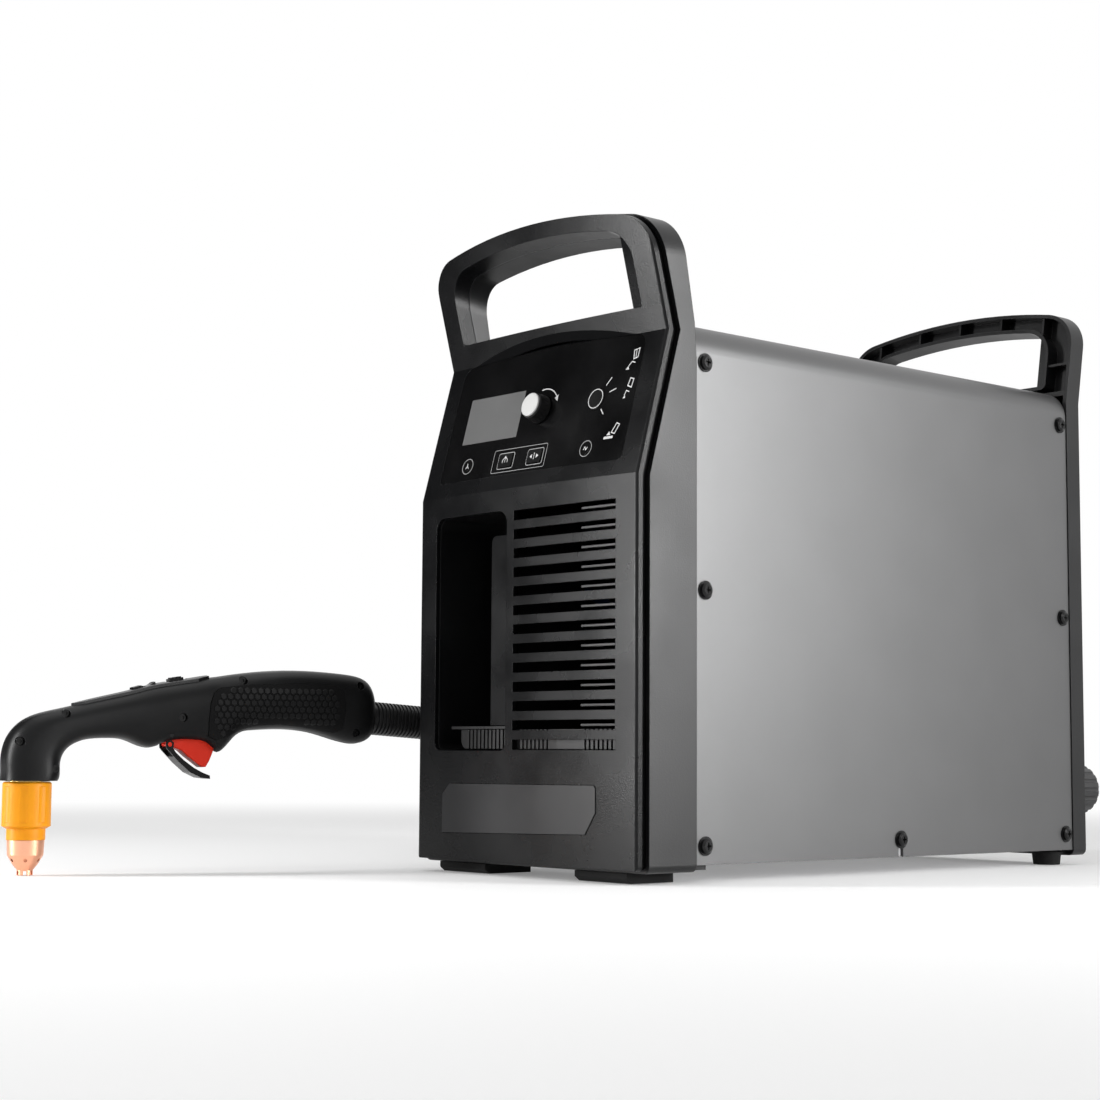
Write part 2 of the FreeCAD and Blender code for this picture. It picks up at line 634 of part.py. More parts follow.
def top_lip(y0, y1):
    """A shelf under the cover's top edge."""
    high = COVER_TOP - SHEET - 0.2
    half = COVER_HALF - 28.0
    return box(-half, half, y0, y1, high - LINING, high)


def screw_holes(radius):
    holes = []
    for y in (COVER_Y0 + SCREW_INSET, COVER_Y1 - SCREW_INSET):
        for z in SCREW_ZS:
            holes.append(rod(radius, (-FAR, y, z), (FAR, y, z)))
    return holes


def front_shell():
    full = front_form(0).common(front_outline(0)).common(band_profile(0))
    hollow = front_form(WALL).common(front_outline(WALL))
    above = box(-FAR, FAR, FRONT_Y - FAR, FRONT_Y + FAR, DECK_Z, FRONT_TOP + ARCH_CORNER)
    lower = hollow.cut(above)
    upper = hollow.common(above).common(band_profile(LINING)).cut(front_window(LINING))
    shell = full.cut([front_slab(-FAR / 2, SHELL_FRONT), lower, upper, front_window(0)])
    shell = shell.cut(front_window(LINING + 0.5).common(front_slab(-FAR / 2, SEAM + GAP)))
    y0, y1 = FRONT_Y + FRONT_BAND - 8, COVER_Y0 + LIP
    under = box(-BODY_HALF + 8, BODY_HALF - 8, y0, y1, BEZEL_BOTTOM + 1, PAN_Z - 0.2)
    shell = shell.fuse(side_lips(y0, y1) + [under, top_lip(y0, y1)])
    return shell.cut(screw_holes(SCREW_SHANK)).removeSplitter()


# Panel pieces
def control_panel():
    plate = panel_prism(GAP, 0, PANEL_THICK)
    x0, x1, s0, s1 = DISPLAY
    cuts = [box(x0, x1, s0, s1, -1, 9)]
    cuts.append(rod(SHAFT_RADIUS + 1.5, (KNOB_X, KNOB_S, -1), (KNOB_X, KNOB_S, 9)))
    return on_panel(plate.cut(cuts + panel_openings(GAP, -1, 9)))


def display_lens():
    x0, x1, s0, s1 = DISPLAY
    c = 0.1
    return on_panel(box(x0 + c, x1 - c, s0 + c, s1 - c, PANEL_THICK - LENS_THICK, PANEL_THICK))


def control_board():
    """The board behind the panel with its display, encoder body and key switches."""
    low = -BOARD_DEPTH - BOARD_THICK
    board = box(4 - PANEL_HALF, PANEL_HALF - 4, 13, 97, low, -BOARD_DEPTH)
    x0, x1, s0, s1 = DISPLAY
    display = box(x0 + 2.3, x1 - 2.3, s0 + 2.3, s1 - 2.3, -BOARD_DEPTH, PANEL_THICK - LENS_THICK)
    encoder = box(KNOB_X - 7, KNOB_X + 7, KNOB_S - 7, KNOB_S + 7, -BOARD_DEPTH, -SEAT_THICK - 1)
    bush = rod(SHAFT_RADIUS + 1.3, (KNOB_X, KNOB_S, -SEAT_THICK - 2), (KNOB_X, KNOB_S, PANEL_THICK))
    switches = [box(x - 3, x + 3, s - 3, s + 3, -BOARD_DEPTH, -8.0) for x, s in STEM_PLACES]
    body = fuse([board, display, encoder, bush] + switches)
    bore = rod(SHAFT_RADIUS + SHAFT_FIT, (KNOB_X, KNOB_S, -BOARD_DEPTH + 1), (KNOB_X, KNOB_S, 9))
    return on_panel(body.cut(bore))


def encoder_shaft():
    low = -BOARD_DEPTH + 1 + KNOB_TRAVEL + GAP
    shaft = rod(SHAFT_RADIUS, (KNOB_X, KNOB_S, low), (KNOB_X, KNOB_S, KNOB_TOP - KNOB_CAP_THICK - 1.2))
    return on_panel(shaft)


def adjust_knob():
    low = PANEL_THICK + KNOB_TRAVEL + GAP
    high = KNOB_TOP - KNOB_CAP_THICK
    at = (KNOB_X, KNOB_S)
    knob = cone(KNOB_RADIUS, KNOB_RADIUS - 0.9, (*at, low), (*at, high - 0.8))
    knob = knob.fuse(cone(KNOB_RADIUS - 0.9, KNOB_RADIUS - 1.7, (*at, high - 0.8), (*at, high)))
    flutes = []
    for i in range(20):
        turn = 2 * math.pi * i / 20
        x = KNOB_X + (KNOB_RADIUS + 0.3) * math.cos(turn)
        s = KNOB_S + (KNOB_RADIUS + 0.3) * math.sin(turn)
        flutes.append(rod(0.9, (x, s, low + 2.2), (x, s, high + 1)))
    bore = rod(SHAFT_RADIUS + SHAFT_FIT, (*at, low - 1), (*at, high - 1.2 + GAP))
    return on_panel(knob.cut(flutes + [bore]))


def knob_cap():
    high = KNOB_TOP - KNOB_CAP_THICK
    at = (KNOB_X, KNOB_S)
    disc = rod(KNOB_CAP_RADIUS, (*at, high), (*at, KNOB_TOP - 0.4))
    crown = cone(KNOB_CAP_RADIUS, KNOB_CAP_RADIUS - 0.5, (*at, KNOB_TOP - 0.4), (*at, KNOB_TOP))
    return on_panel(disc.fuse(crown).removeSplitter())


def key_with_stem(head, x, s):
    stem = rod(STEM_RADIUS, (x, s, -8.0 + KEY_TRAVEL + 0.2), (x, s, KEY_TRAVEL + 0.6))
    return on_panel(head.fuse(stem).removeSplitter())


def mode_button():
    low, high = KEY_TRAVEL + 0.2, PANEL_THICK + BUTTON_PROUD
    head = rod(MODE_RADIUS, (MODE_X, MODE_S, low), (MODE_X, MODE_S, high - 0.4))
    rim = MODE_RADIUS - 0.6
    head = head.fuse(cone(MODE_RADIUS, rim, (MODE_X, MODE_S, high - 0.4), (MODE_X, MODE_S, high)))
    return key_with_stem(head, MODE_X, MODE_S)


def key_button(x):
    head = key_block(x, KEY_SIZE, KEY_TRAVEL + 0.2, PANEL_THICK + BUTTON_PROUD)
    corners = [e for e in head.Edges if abs(e.tangentAt(e.FirstParameter).z) > 0.9]
    return key_with_stem(head.makeFillet(1.5, corners), x, KEY_S)


def indicator_lenses():
    lamps = []
    for x in LAMP_XS:
        lamp = rod(LAMP_RADIUS, (x, KEY_S, 0), (x, KEY_S, PANEL_THICK + 0.3))
        stem = rod(LAMP_RADIUS - 1.8, (x, KEY_S, -SEAT_THICK), (x, KEY_S, 0.5))
        lamps.append(on_panel(lamp.fuse(stem).removeSplitter()))
    return lamps


# Bay and vent pieces
def inside_face(shape, clearance):
    return shape.common(front_form(WALL + clearance))


def bay_liner():
    y0, y1 = FRONT_Y - 12, FRONT_Y + BAY_DEPTH
    outer = bay_mouth(BAY_WALL, y0, y1)
    inner = bay_mouth(0, y0 - 1, y1 - BAY_WALL)
    liner = inside_face(outer.cut(inner), 0.1)
    liner = liner.cut([bay_step(GAP), sill_space(GAP)])
    shelf = box(SHELF_LEFT, BAY_RIGHT + 1, FRONT_Y - 5, y1 - 1, SHELF_Z - SHELF_THICK, SHELF_Z)
    liner = liner.fuse(shelf)
    x, z = RECEPTACLE
    holes = [rod(RECEPTACLE_RADIUS - 3, (x, y1 - 9, z), (x, y1 + 9, z)),
             rod(SOCKET_RADIUS - 3, (SOCKET[0], y1 - 9, SOCKET[1]), (SOCKET[0], y1 + 9, SOCKET[1]))]
    feet = [box(BAY_LEFT + 4, BAY_LEFT + 12, y1 - 24, y1 - 2, PAN_Z + SHEET, BAY_LOW - 1),
            box(BAY_RIGHT - 12, BAY_RIGHT - 4, y1 - 24, y1 - 2, PAN_Z + SHEET, BAY_LOW - 1)]
    return liner.fuse(feet).cut(holes).removeSplitter()


def sill_space(clearance):
    """The bar of the sill; it passes through a notch in the bay liner's right wall."""
    c = clearance
    return box(SILL_LEFT - c, LOUVRE_RIGHT + 3 + c, VENT_FRONT - c, VENT_BACK + c,
               SILL_LOW - c, SHELF_Z - SHELF_THICK - 0.4 + c)


def vent_insert():
    """Vanes behind the louvres and the ribbed sill bar under them, one moulding."""
    y_in, y_back, bar_low, left = VENT_FRONT, VENT_BACK, SILL_LOW, SILL_LEFT
    bar = sill_space(0)
    front_edges = [e for e in bar.Edges
                   if abs(e.CenterOfMass.x - left) < 0.1 and e.CenterOfMass.z < bar_low + 0.1]
    bar = bar.makeFillet(SILL_RADIUS, front_edges)
    grooves = []
    x = left + 9
    while x < LOUVRE_RIGHT:
        if not 28 < x < 62:
            grooves.append(box(x, x + 1.6, y_in - 20, y_in + 4.5, bar_low - 1, SHELF_Z))
        x += SILL_PITCH
    bar = bar.cut(grooves)
    slats = []
    for i in range(LOUVRE_COUNT - 1):
        middle = LOUVRE_TOP - i * LOUVRE_PITCH - LOUVRE_GAP / 2
        low, high = middle - VANE_THICK / 2, middle + VANE_THICK / 2
        slats.append(box(VANE_LEFT, LOUVRE_RIGHT + 3, y_in, y_back, low, high))
    post = box(LOUVRE_RIGHT + 0.6, LOUVRE_RIGHT + 3, y_in + 2, y_back, bar_low + 3, LOUVRE_TOP + 3)
    return inside_face(fuse([bar, post] + slats), 0.1)


def torch_receptacle():
    x, z = RECEPTACLE
    back = FRONT_Y + BAY_DEPTH
    floor = back - BAY_WALL
    body = fuse([rod(RECEPTACLE_RADIUS, (x, floor - 18, z), (x, floor, z)),
                 rod(RECEPTACLE_RADIUS - 3.3, (x, floor - 1, z), (x, back + 22, z)),
                 box(x - 8, x + 8, floor - 15, floor - 2, z + 10, z + RECEPTACLE_RADIUS + 2)])
    nut = rod(RECEPTACLE_RADIUS + 1, (x, back, z), (x, back + 6, z))
    body = body.fuse(nut)
    cuts = [rod(PLUG_BORE, (x, floor - 19, z), (x, floor - 4, z))]
    for i in range(5):
        turn = 2 * math.pi * i / 5
        px, pz = x + 8.5 * math.cos(turn), z + 8.5 * math.sin(turn)
        cuts.append(rod(2.0, (px, floor - 5, pz), (px, floor + 10, pz)))
    cuts.append(rod(4.2, (x, floor - 5, z), (x, back + 23, z)))
    low, high = z + PLUG_BORE + 1.6, z + RECEPTACLE_RADIUS + 5
    cuts.append(box(x - 5.2, x + 5.2, floor - 12.2, floor - 4.8, low, high))
    return body.cut(cuts)


def release_button():
    x, z = RECEPTACLE
    floor = FRONT_Y + BAY_DEPTH - BAY_WALL
    low = z + PLUG_BORE + 1.6 + GAP + RELEASE_TRAVEL
    button = box(x - 5, x + 5, floor - 12, floor - 5, low, z + RECEPTACLE_RADIUS + 2 + RELEASE_TRAVEL + 1.5)
    return button


def work_lead_socket():
    x, z = SOCKET
    back = FRONT_Y + BAY_DEPTH
    floor = back - BAY_WALL
    body = fuse([rod(SOCKET_RADIUS, (x, floor - 12, z), (x, floor, z)),
                 rod(SOCKET_RADIUS - 3.3, (x, floor - 1, z), (x, back + 30, z)),
                 rod(SOCKET_RADIUS + 1, (x, back, z), (x, back + 6, z))])
    return body.cut([rod(SOCKET_BORE, (x, floor - 13, z), (x, back + 15, z)),
                     box(x - 2.2, x + 2.2, floor - 13, floor + 2, z + 5, z + 9)])


# Cover, base, feet and screws
def cover():
    def skin(inset, y0, y1):
        half, top = COVER_HALF - inset, COVER_TOP - inset
        r = COVER_CORNER - inset
        off = r * (1 - math.sqrt(0.5))
        wire = Part.Wire([
            line((half, y0, COVER_LOW), (half, y0, top - r)),
            arc((half, y0, top - r), (half - off, y0, top - off), (half - r, y0, top)),
            line((half - r, y0, top), (r - half, y0, top)),
            arc((r - half, y0, top), (off - half, y0, top - off), (-half, y0, top - r)),
            line((-half, y0, top - r), (-half, y0, COVER_LOW)),
            line((-half, y0, COVER_LOW), (half, y0, COVER_LOW)),
        ])
        return Part.Face(wire).extrude(Vector(0, y1 - y0, 0))
    sheet = skin(0, COVER_Y0, COVER_Y1).cut(skin(SHEET, COVER_Y0 - 1, COVER_Y1 + 1))
    middle = (COVER_Y0 + COVER_Y1) / 2
    low = SCREW_ZS[0]
    notch = box(-FAR, FAR, middle - 2.6, middle + 2.6, COVER_LOW - 1, low)
    key = rod(2.6, (-FAR, middle, low), (FAR, middle, low))
    return sheet.cut(screw_holes(SCREW_SHANK + 0.3) + [notch, key])


def cover_screw(y, z):
    """A pan-head screw with its washer, on the right flank."""
    x = COVER_HALF
    washer = rod(WASHER, (x, y, z), (x + 0.9, y, z))
    head = rod(SCREW_HEAD, (x + 0.5, y, z), (x + 2.4, y, z))
    dome = cone(SCREW_HEAD, SCREW_HEAD - 1.5, (x + 2.4, y, z), (x + 3.4, y, z))
    shank = rod(SCREW_SHANK - 0.05, (x - 9, y, z), (x + 1, y, z))
    slots = [box(x + 1.6, x + 4, y - 2.4, y + 2.4, z - 0.6, z + 0.6),
             box(x + 1.6, x + 4, y - 0.6, y + 0.6, z - 2.4, z + 2.4)]
    return fuse([washer, head, dome, shank]).cut(slots)


def cover_screws():
    middle = (COVER_Y0 + COVER_Y1) / 2
    places = [(y, z) for y in (COVER_Y0 + SCREW_INSET, COVER_Y1 - SCREW_INSET) for z in SCREW_ZS]
    places.append((middle, SCREW_ZS[0]))
    right = [cover_screw(y, z) for y, z in places]
    return right + [mirrored(s) for s in right]


def base_pan():
    outer = COVER_HALF - SHEET - 0.2
    y0, y1 = COVER_Y0 + 2, COVER_Y1 - 2
    plate = box(-outer, outer, y0, y1, PAN_Z, PAN_Z + SHEET)
    flange = box(outer - SHEET, outer, y0 + LIP, y1 - LIP, PAN_Z, PAN_Z + PAN_FLANGE)
    notches = [box(x - 6, x + 6, y - 20, y + 20, PAN_Z - 1, PAN_Z + 3)
               for x in (-outer, outer) for y in (y0, y1)]
    middle = (COVER_Y0 + COVER_Y1) / 2
    low = SCREW_ZS[0]
    hole = rod(SCREW_SHANK, (-FAR, middle, low), (FAR, middle, low))
    pan = fuse([plate, flange, mirrored(flange)]).cut(notches + [hole])
    feet = [rod(2.5, (x, FOOT_REAR[1], PAN_Z - 1), (x, FOOT_REAR[1], PAN_Z + 9))
            for x in (-FOOT_REAR[0], FOOT_REAR[0])]
    return pan.cut(feet)


def front_feet():
    x0, x1, length = FOOT_FRONT
    y0 = FRONT_Y + 1
    y1, top = y0 + length, BEZEL_BOTTOM
    foot = prism_x([(y0 + 4, 0), (y1, 0), (y1, top), (y0, top), (y0, 3)], x0, x1)
    groove = box(x0 + 6, x1 - 6, y0 + 8, y0 + length - 6, -1, 1.2)
    foot = foot.cut(groove)
    return [foot, mirrored(foot)]


def rear_feet():
    x, y = FOOT_REAR
    top = PAN_Z
    foot = fuse([cone(FOOT_REAR_RADIUS - 1.2, FOOT_REAR_RADIUS, (x, y, 0), (x, y, FOOT_REAR_HEIGHT)),
                 rod(FOOT_REAR_RADIUS - 3, (x, y, FOOT_REAR_HEIGHT - 0.5), (x, y, top)),
                 rod(2.4, (x, y, top - 1), (x, y, top + SHEET + 2))])
    return [foot, mirrored(foot)]


# Rear bezel
def rear_profile(front, back):
    """Side view of the rear bezel: upright, then leaning back above the crease."""
    high = REAR_TOP + ARCH_CORNER
    run = REAR_LEAN * (high - CREASE_Z)
    points = [(REAR_Y + front, 0), (BACK_Y - back, 0), (BACK_Y - back, CREASE_Z), (BACK_Y - back + run, high),
              (REAR_Y + front + run, high), (REAR_Y + front, CREASE_Z)]
    return prism_x(points, -FAR, FAR)


def rear_outline(inset):
    return case_outline(REAR_TOP, inset, REAR_Y - FAR, BACK_Y + FAR)


def rear_window(outset):
    return handle_window(REAR_WINDOW_HALF, REAR_WINDOW_BOTTOM, REAR_TOP - REAR_BAR, outset, REAR_Y)


def rear_scoop():
    """The flange left standing at the back of the window's right end."""
    left = REAR_WINDOW_HALF - SCOOP_WIDTH
    column = box(left, REAR_WINDOW_HALF + 3, REAR_Y, BACK_Y + FAR, REAR_WINDOW_BOTTOM - 3, REAR_TOP)
    return column.common(rear_profile(REAR_BAND - LINING, 0)).common(rear_outline(REAR_BAR))


def rear_bezel():
    body = rear_outline(0).common(rear_profile(0, 0))
    above = box(-FAR, FAR, REAR_Y - FAR, BACK_Y + FAR, DECK_Z + 4, REAR_TOP + ARCH_CORNER)
    hollow = rear_outline(LINING).common(rear_profile(-FAR / 4, LINING))
    channel = hollow.common(above).cut(rear_window(LINING))
    half, y0, y1 = RIB_THICK / 2, REAR_Y - 9, BACK_Y + FAR
    ribs = [box(x - half, x + half, y0, y1, REAR_WINDOW_BOTTOM, REAR_TOP + 9)
            for x in RIB_XS]
    post, level = BODY_HALF - 12, REAR_WINDOW_BOTTOM + 15
    ribs += [box(s * post - 12, s * post + 12, y0, y1, level, level + RIB_THICK) for s in (-1, 1)]
    channel = channel.cut([r.common(rear_profile(2.0, 0)) for r in ribs])
    lower = rear_outline(WALL).common(rear_profile(-FAR / 4, LINING)).cut(
        box(-FAR, FAR, REAR_Y - FAR, BACK_Y + FAR, DECK_Z, REAR_TOP + ARCH_CORNER))
    opening = arch_face(REAR_OPENING, BEZEL_BOTTOM + 14, CREASE_Z - 8, 2500.0, 12.0, 12.0)
    back = upright(opening, BACK_Y - 20).extrude(Vector(0, 40, 0))
    body = body.cut([channel, lower, back, rear_window(0).cut(rear_scoop())])
    y0, y1 = COVER_Y1 - LIP, BACK_Y - LINING
    under = box(-BODY_HALF + 8, BODY_HALF - 8, y0, BACK_Y - LINING + 1, BEZEL_BOTTOM + 1, PAN_Z - 0.2)
    foot_x, foot_y = FOOT_REAR
    holes = [rod(FOOT_REAR_RADIUS + 0.5, (s * foot_x, foot_y, 0), (s * foot_x, foot_y, PAN_Z))
             for s in (-1, 1)]
    side = BODY_HALF - 3
    top = COVER_TOP - COVER_CORNER - 4
    join = [box(s * side - 2.9, s * side + 1, REAR_Y + 1, y1, PAN_Z + 2, top) for s in (-1, 1)]
    body = body.fuse(side_lips(y0, y1) + [under, top_lip(y0, y1)] + join).cut(holes)
    return body.cut(screw_holes(SCREW_SHANK)).removeSplitter()


def at_rear(place, offset):
    return (place[0], PANEL_FRONT + offset, place[1])


def rear_panel():
    half = BODY_HALF - 8
    plate = box(-half, half, PANEL_FRONT, PANEL_BACK, PAN_Z + SHEET + 0.1, DECK_Z - 6)
    foot = box(9 - half, half - 9, PANEL_FRONT - 14, PANEL_BACK, PAN_Z + SHEET + 0.1, PAN_Z + 2 * SHEET + 0.1)
    fx, fz = FAN
    cuts = []
    for k in range(4):
        r0, r1 = 12.0 + 11.2 * k, 20.0 + 11.2 * k
        ring = rod(r1, (fx, PANEL_FRONT - 1, fz), (fx, PANEL_BACK + 1, fz))
        ring = ring.cut(rod(r0, (fx, PANEL_FRONT - 2, fz), (fx, PANEL_BACK + 2, fz)))
        bars = []
        for turn in (0, 45, 90, 135):
            bar = box(-FAR, FAR, PANEL_FRONT - 3, PANEL_BACK + 3, -1.6, 1.6)
            bar.rotate(Vector(0, 0, 0), Vector(0, 1, 0), turn + 22.5)
            bar.translate(Vector(fx, 0, fz))
            bars.append(bar)
        cuts.append(ring.cut(bars))
    cuts.append(rod(GLAND_NUT_RADIUS - 5.8, at_rear(GLAND, -30), at_rear(GLAND, 30)))
    cuts.append(rod(6.2, at_rear(SWITCH, -30), at_rear(SWITCH, 30)))
    cuts.append(rod(8.2, at_rear(INLET, -30), at_rear(INLET, 30)))
    return fuse([plate, foot]).cut(cuts)


def cord_gland():
    """Gland body through the rear panel, with its lock nut inside."""
    r = GLAND_NUT_RADIUS
    body = fuse([rod(r - 6, at_rear(GLAND, -12), at_rear(GLAND, 22)),
                 rod(r - 3.5, at_rear(GLAND, REAR_PANEL_THICK), at_rear(GLAND, REAR_PANEL_THICK + 6)),
                 rod(r - 1, at_rear(GLAND, -6), at_rear(GLAND, 0))])
    return body.cut(rod(GLAND_BORE, at_rear(GLAND, -14), at_rear(GLAND, 24)))


def gland_nut():
    """Ribbed dome nut of the gland."""
    r = GLAND_NUT_RADIUS
    start = REAR_PANEL_THICK + 6.2
    end = GLAND_REACH + LINING + REAR_PANEL_THICK + 0.1
    step = end - 3.0
    dome = [rod(r, at_rear(GLAND, start), at_rear(GLAND, step)),
            cone(r, r - 3, at_rear(GLAND, step), at_rear(GLAND, end))]
    grooves = []
    for i in range(18):
        turn = 2 * math.pi * i / 18
        x, z = GLAND[0] + (r + 0.8) * math.cos(turn), GLAND[1] + (r + 0.8) * math.sin(turn)
        grooves.append(rod(1.9, (x, PANEL_FRONT + start + 3, z), (x, PANEL_FRONT + end, z)))
    bores = [rod(GLAND_BORE, at_rear(GLAND, 0), at_rear(GLAND, 60)),
             rod(r - 5.8, at_rear(GLAND, 0), at_rear(GLAND, 22.3))]
    return fuse(dome).cut(grooves + bores)


def power_switch_body():
    x, z = SWITCH
    body = box(x - 24, x + 24, PANEL_FRONT - 46, PANEL_FRONT, z - 24, z + 24)
    collar = rod(6.0, at_rear(SWITCH, -1), at_rear(SWITCH, REAR_PANEL_THICK + 1.5))
    bore = rod(4.0 + SHAFT_FIT, at_rear(SWITCH, -21), at_rear(SWITCH, 9))
    return body.fuse(collar).cut(bore).removeSplitter()


def power_switch_knob():
    y0 = REAR_PANEL_THICK + 2.0
    r = SWITCH_DISC
    disc = cone(r, r - 1, at_rear(SWITCH, y0), at_rear(SWITCH, y0 + 6))
    x, z = SWITCH
    grip = box(x - 4, x + 4, PANEL_FRONT + y0 + 1, PANEL_FRONT + y0 + 18, z - r + 1, z + r - 1)
    along = [e for e in grip.Edges if e.CenterOfMass.y > PANEL_FRONT + y0 + 17.9]
    shaft = rod(4.0, at_rear(SWITCH, -20), at_rear(SWITCH, y0 + 1))
    return fuse([disc, grip.makeFillet(2.0, along), shaft])


def air_inlet():
    hexagon = []
    for i in range(6):
        turn = math.pi * i / 3
        hexagon.append((INLET[0] + 10.5 * math.cos(turn), INLET[1] + 10.5 * math.sin(turn)))
    nut = prism_y(hexagon, PANEL_BACK, PANEL_BACK + 7)
    body = [rod(8.0, at_rear(INLET, -12), at_rear(INLET, 3)),
            rod(6.6, at_rear(INLET, 2), at_rear(INLET, 30)), nut]
    return fuse(body).cut(rod(INLET_BORE, at_rear(INLET, -13), at_rear(INLET, 31)))


def filter_regulator():
    x, z = INLET
    y1 = PANEL_FRONT - 12.1
    y0 = y1 - 46
    mid = (y0 + y1) / 2
    body = box(x - 23, x + 23, y0, y1, z - 20, z + 22)
    bowl = rod(18, (x, mid, z - 78), (x, mid, z - 19))
    tip = cone(11, 18, (x, mid, z - 86), (x, mid, z - 78))
    cap = cone(20, 16, (x, mid, z + 21), (x, mid, z + 40))
    bracket = box(x - 20, x + 20, y1 - 4, PANEL_FRONT - 0.1, z + 8.5, z + 11)
    port = rod(6, (x, y0 - 6, z), (x, y0 + 1, z))
    return fuse([body, bowl, tip, cap, bracket, port]).cut(rod(3, (x, y0 - 7, z), (x, y1 + 1, z)))


# Fan
def fan_frame():
    fx, fz = FAN
    half = FAN_SIZE / 2
    y1 = PANEL_FRONT - 0.1
    y0 = y1 - FAN_DEPTH
    frame = box(fx - half, fx + half, y0, y1, fz - half, fz + half)
    posts = [e for e in frame.Edges if abs(e.tangentAt(e.FirstParameter).y) > 0.9]
    frame = frame.makeFillet(6, posts).cut(rod(FAN_BORE, (fx, y0 - 1, fz), (fx, y1 + 1, fz)))
    spokes = []
    for turn in (0, 120, 240):
        bar = box(-2.5, 2.5, y0, y0 + 4, 0, FAN_BORE + 1.5)
        bar.rotate(Vector(0, 0, 0), Vector(0, 1, 0), turn)
        bar.translate(Vector(fx, 0, fz))
        spokes.append(bar)
    motor = rod(20, (fx, y0, fz), (fx, y0 + 5, fz))
    pin = rod(FAN_PIN, (fx, y0 + 4, fz), (fx, y1 - 5, fz))
    return fuse([frame, motor, pin] + spokes)


def fan_rotor():
    fx, fz = FAN
    y1 = PANEL_FRONT - 0.1
    y0 = y1 - FAN_DEPTH
    hub = rod(21, (0, y0 + 6, 0), (0, y1 - 4, 0))
    blades = []
    for i in range(FAN_BLADES):
        blade = box(-1.2, 1.2, -14, 14, 18, FAN_TIP)
        blade.rotate(Vector(0, 0, 0), Vector(0, 0, 1), 38)
        blade.translate(Vector(0, (y0 + y1) / 2 + 1, 0))
        blade.rotate(Vector(0, 0, 0), Vector(0, 1, 0), 360 * i / FAN_BLADES)
        blades.append(blade)
    rotor = fuse([hub] + blades).common(rod(FAN_TIP, (0, y0, 0), (0, y1, 0)))
    rotor = rotor.cut(rod(FAN_PIN + SHAFT_FIT, (0, y0, 0), (0, y1 - 4.5, 0)))
    rotor.translate(Vector(fx, 0, fz))
    return rotor


# Power electronics
def bulkhead():
    plate = box(BULKHEAD_X, BULKHEAD_X + SHEET, BULK_Y0, BULK_Y1, FLOOR_Z, BULKHEAD_HIGH)
    foot = box(BULKHEAD_X, BULKHEAD_X + 16, BULK_Y0, BULK_Y1, FLOOR_Z, FLOOR_Z + SHEET)
    window = box(BULKHEAD_X - 1, BULKHEAD_X + 9, BULK_Y0 + 62, BULK_Y0 + 194, MODULE_LOW - 5, MODULE_LOW + 65)
    return fuse([plate, foot]).cut(window)


def heatsink():
    y0, y1 = BULK_Y0 + 30, BULK_Y1 - 10
    z0 = SINK_LOW
    z1 = z0 + SINK_PITCH * (SINK_FINS - 1) + SINK_FIN
    left = 16 - COVER_HALF
    plate = box(BULKHEAD_X - 8, BULKHEAD_X, y0, y1, z0, z1)
    fins = []
    for i in range(SINK_FINS):
        z = z0 + i * SINK_PITCH
        fins.append(box(left, BULKHEAD_X - 7, y0, y1, z, z + SINK_FIN))
    return fuse([plate] + fins)


def power_board():
    """Board with the power modules that seat on the heatsink's plate."""
    low, high = BULKHEAD_HIGH - 195, BULKHEAD_HIGH - 15
    board = box(BOARD_X, BOARD_X + BOARD_THICK, BULK_Y0 + 30, BULK_Y1 - 20, low, high)
    modules = []
    for i in range(3):
        y = BULK_Y0 + 66 + i * 44
        modules.append(box(BULKHEAD_X, BOARD_X, y, y + 34, MODULE_LOW, MODULE_LOW + 60))
    pillars = [rod(3, (BULKHEAD_X + SHEET, y, z), (BOARD_X, y, z))
               for y in (BULK_Y0 + 38, BULK_Y1 - 28) for z in (low + 8, high - 8)]
    return fuse([board] + modules + pillars)


def capacitors():
    cans = []
    for i in range(2):
        for k in range(2):
            y, z = BULK_Y0 + 70 + 48 * i, BULKHEAD_HIGH - 150 + 60 * k
            can = rod(17.5, (BOARD_X + BOARD_THICK, y, z), (BOARD_X + BOARD_THICK + 52, y, z))
            end = BOARD_X + BOARD_THICK + 52
            cans.append(can.cut(rod(14, (end - 1, y, z), (end + 1, y, z))))
    return cans


def transformer():
    x0, x1 = -96.0, -8.0
    y0, y1 = BULK_Y0 + 60, BULK_Y0 + 140
    z0, z1 = FLOOR_Z, FLOOR_Z + 96
    core = box(x0, x1, y0 + 20, y1 - 20, z0, z1).cut(box(x0 + 18, x1 - 18, y0, y1, z0 + 18, z1 - 18))
    leg = box((x0 + x1) / 2 - 11, (x0 + x1) / 2 + 11, y0 + 20, y1 - 20, z0 + 10, z1 - 10)
    winding = box((x0 + x1) / 2 - 24, (x0 + x1) / 2 + 24, y0, y1, z0 + 20, z1 - 20)
    upright_edges = [e for e in winding.Edges if abs(e.tangentAt(e.FirstParameter).z) > 0.9]
    return fuse([core, leg, winding.makeFillet(14, upright_edges)])


def output_choke():
    x, y = -54.0, BULK_Y0 + 215
    ring = Part.makeTorus(32, 18, Vector(x, y, FLOOR_Z + 18.3), Vector(0, 0, 1))
    post = rod(6, (x, y, FLOOR_Z), (x, y, FLOOR_Z + 40))
    plate = rod(26, (x, y, FLOOR_Z + 34), (x, y, FLOOR_Z + 37))
    return fuse([ring, post, plate])


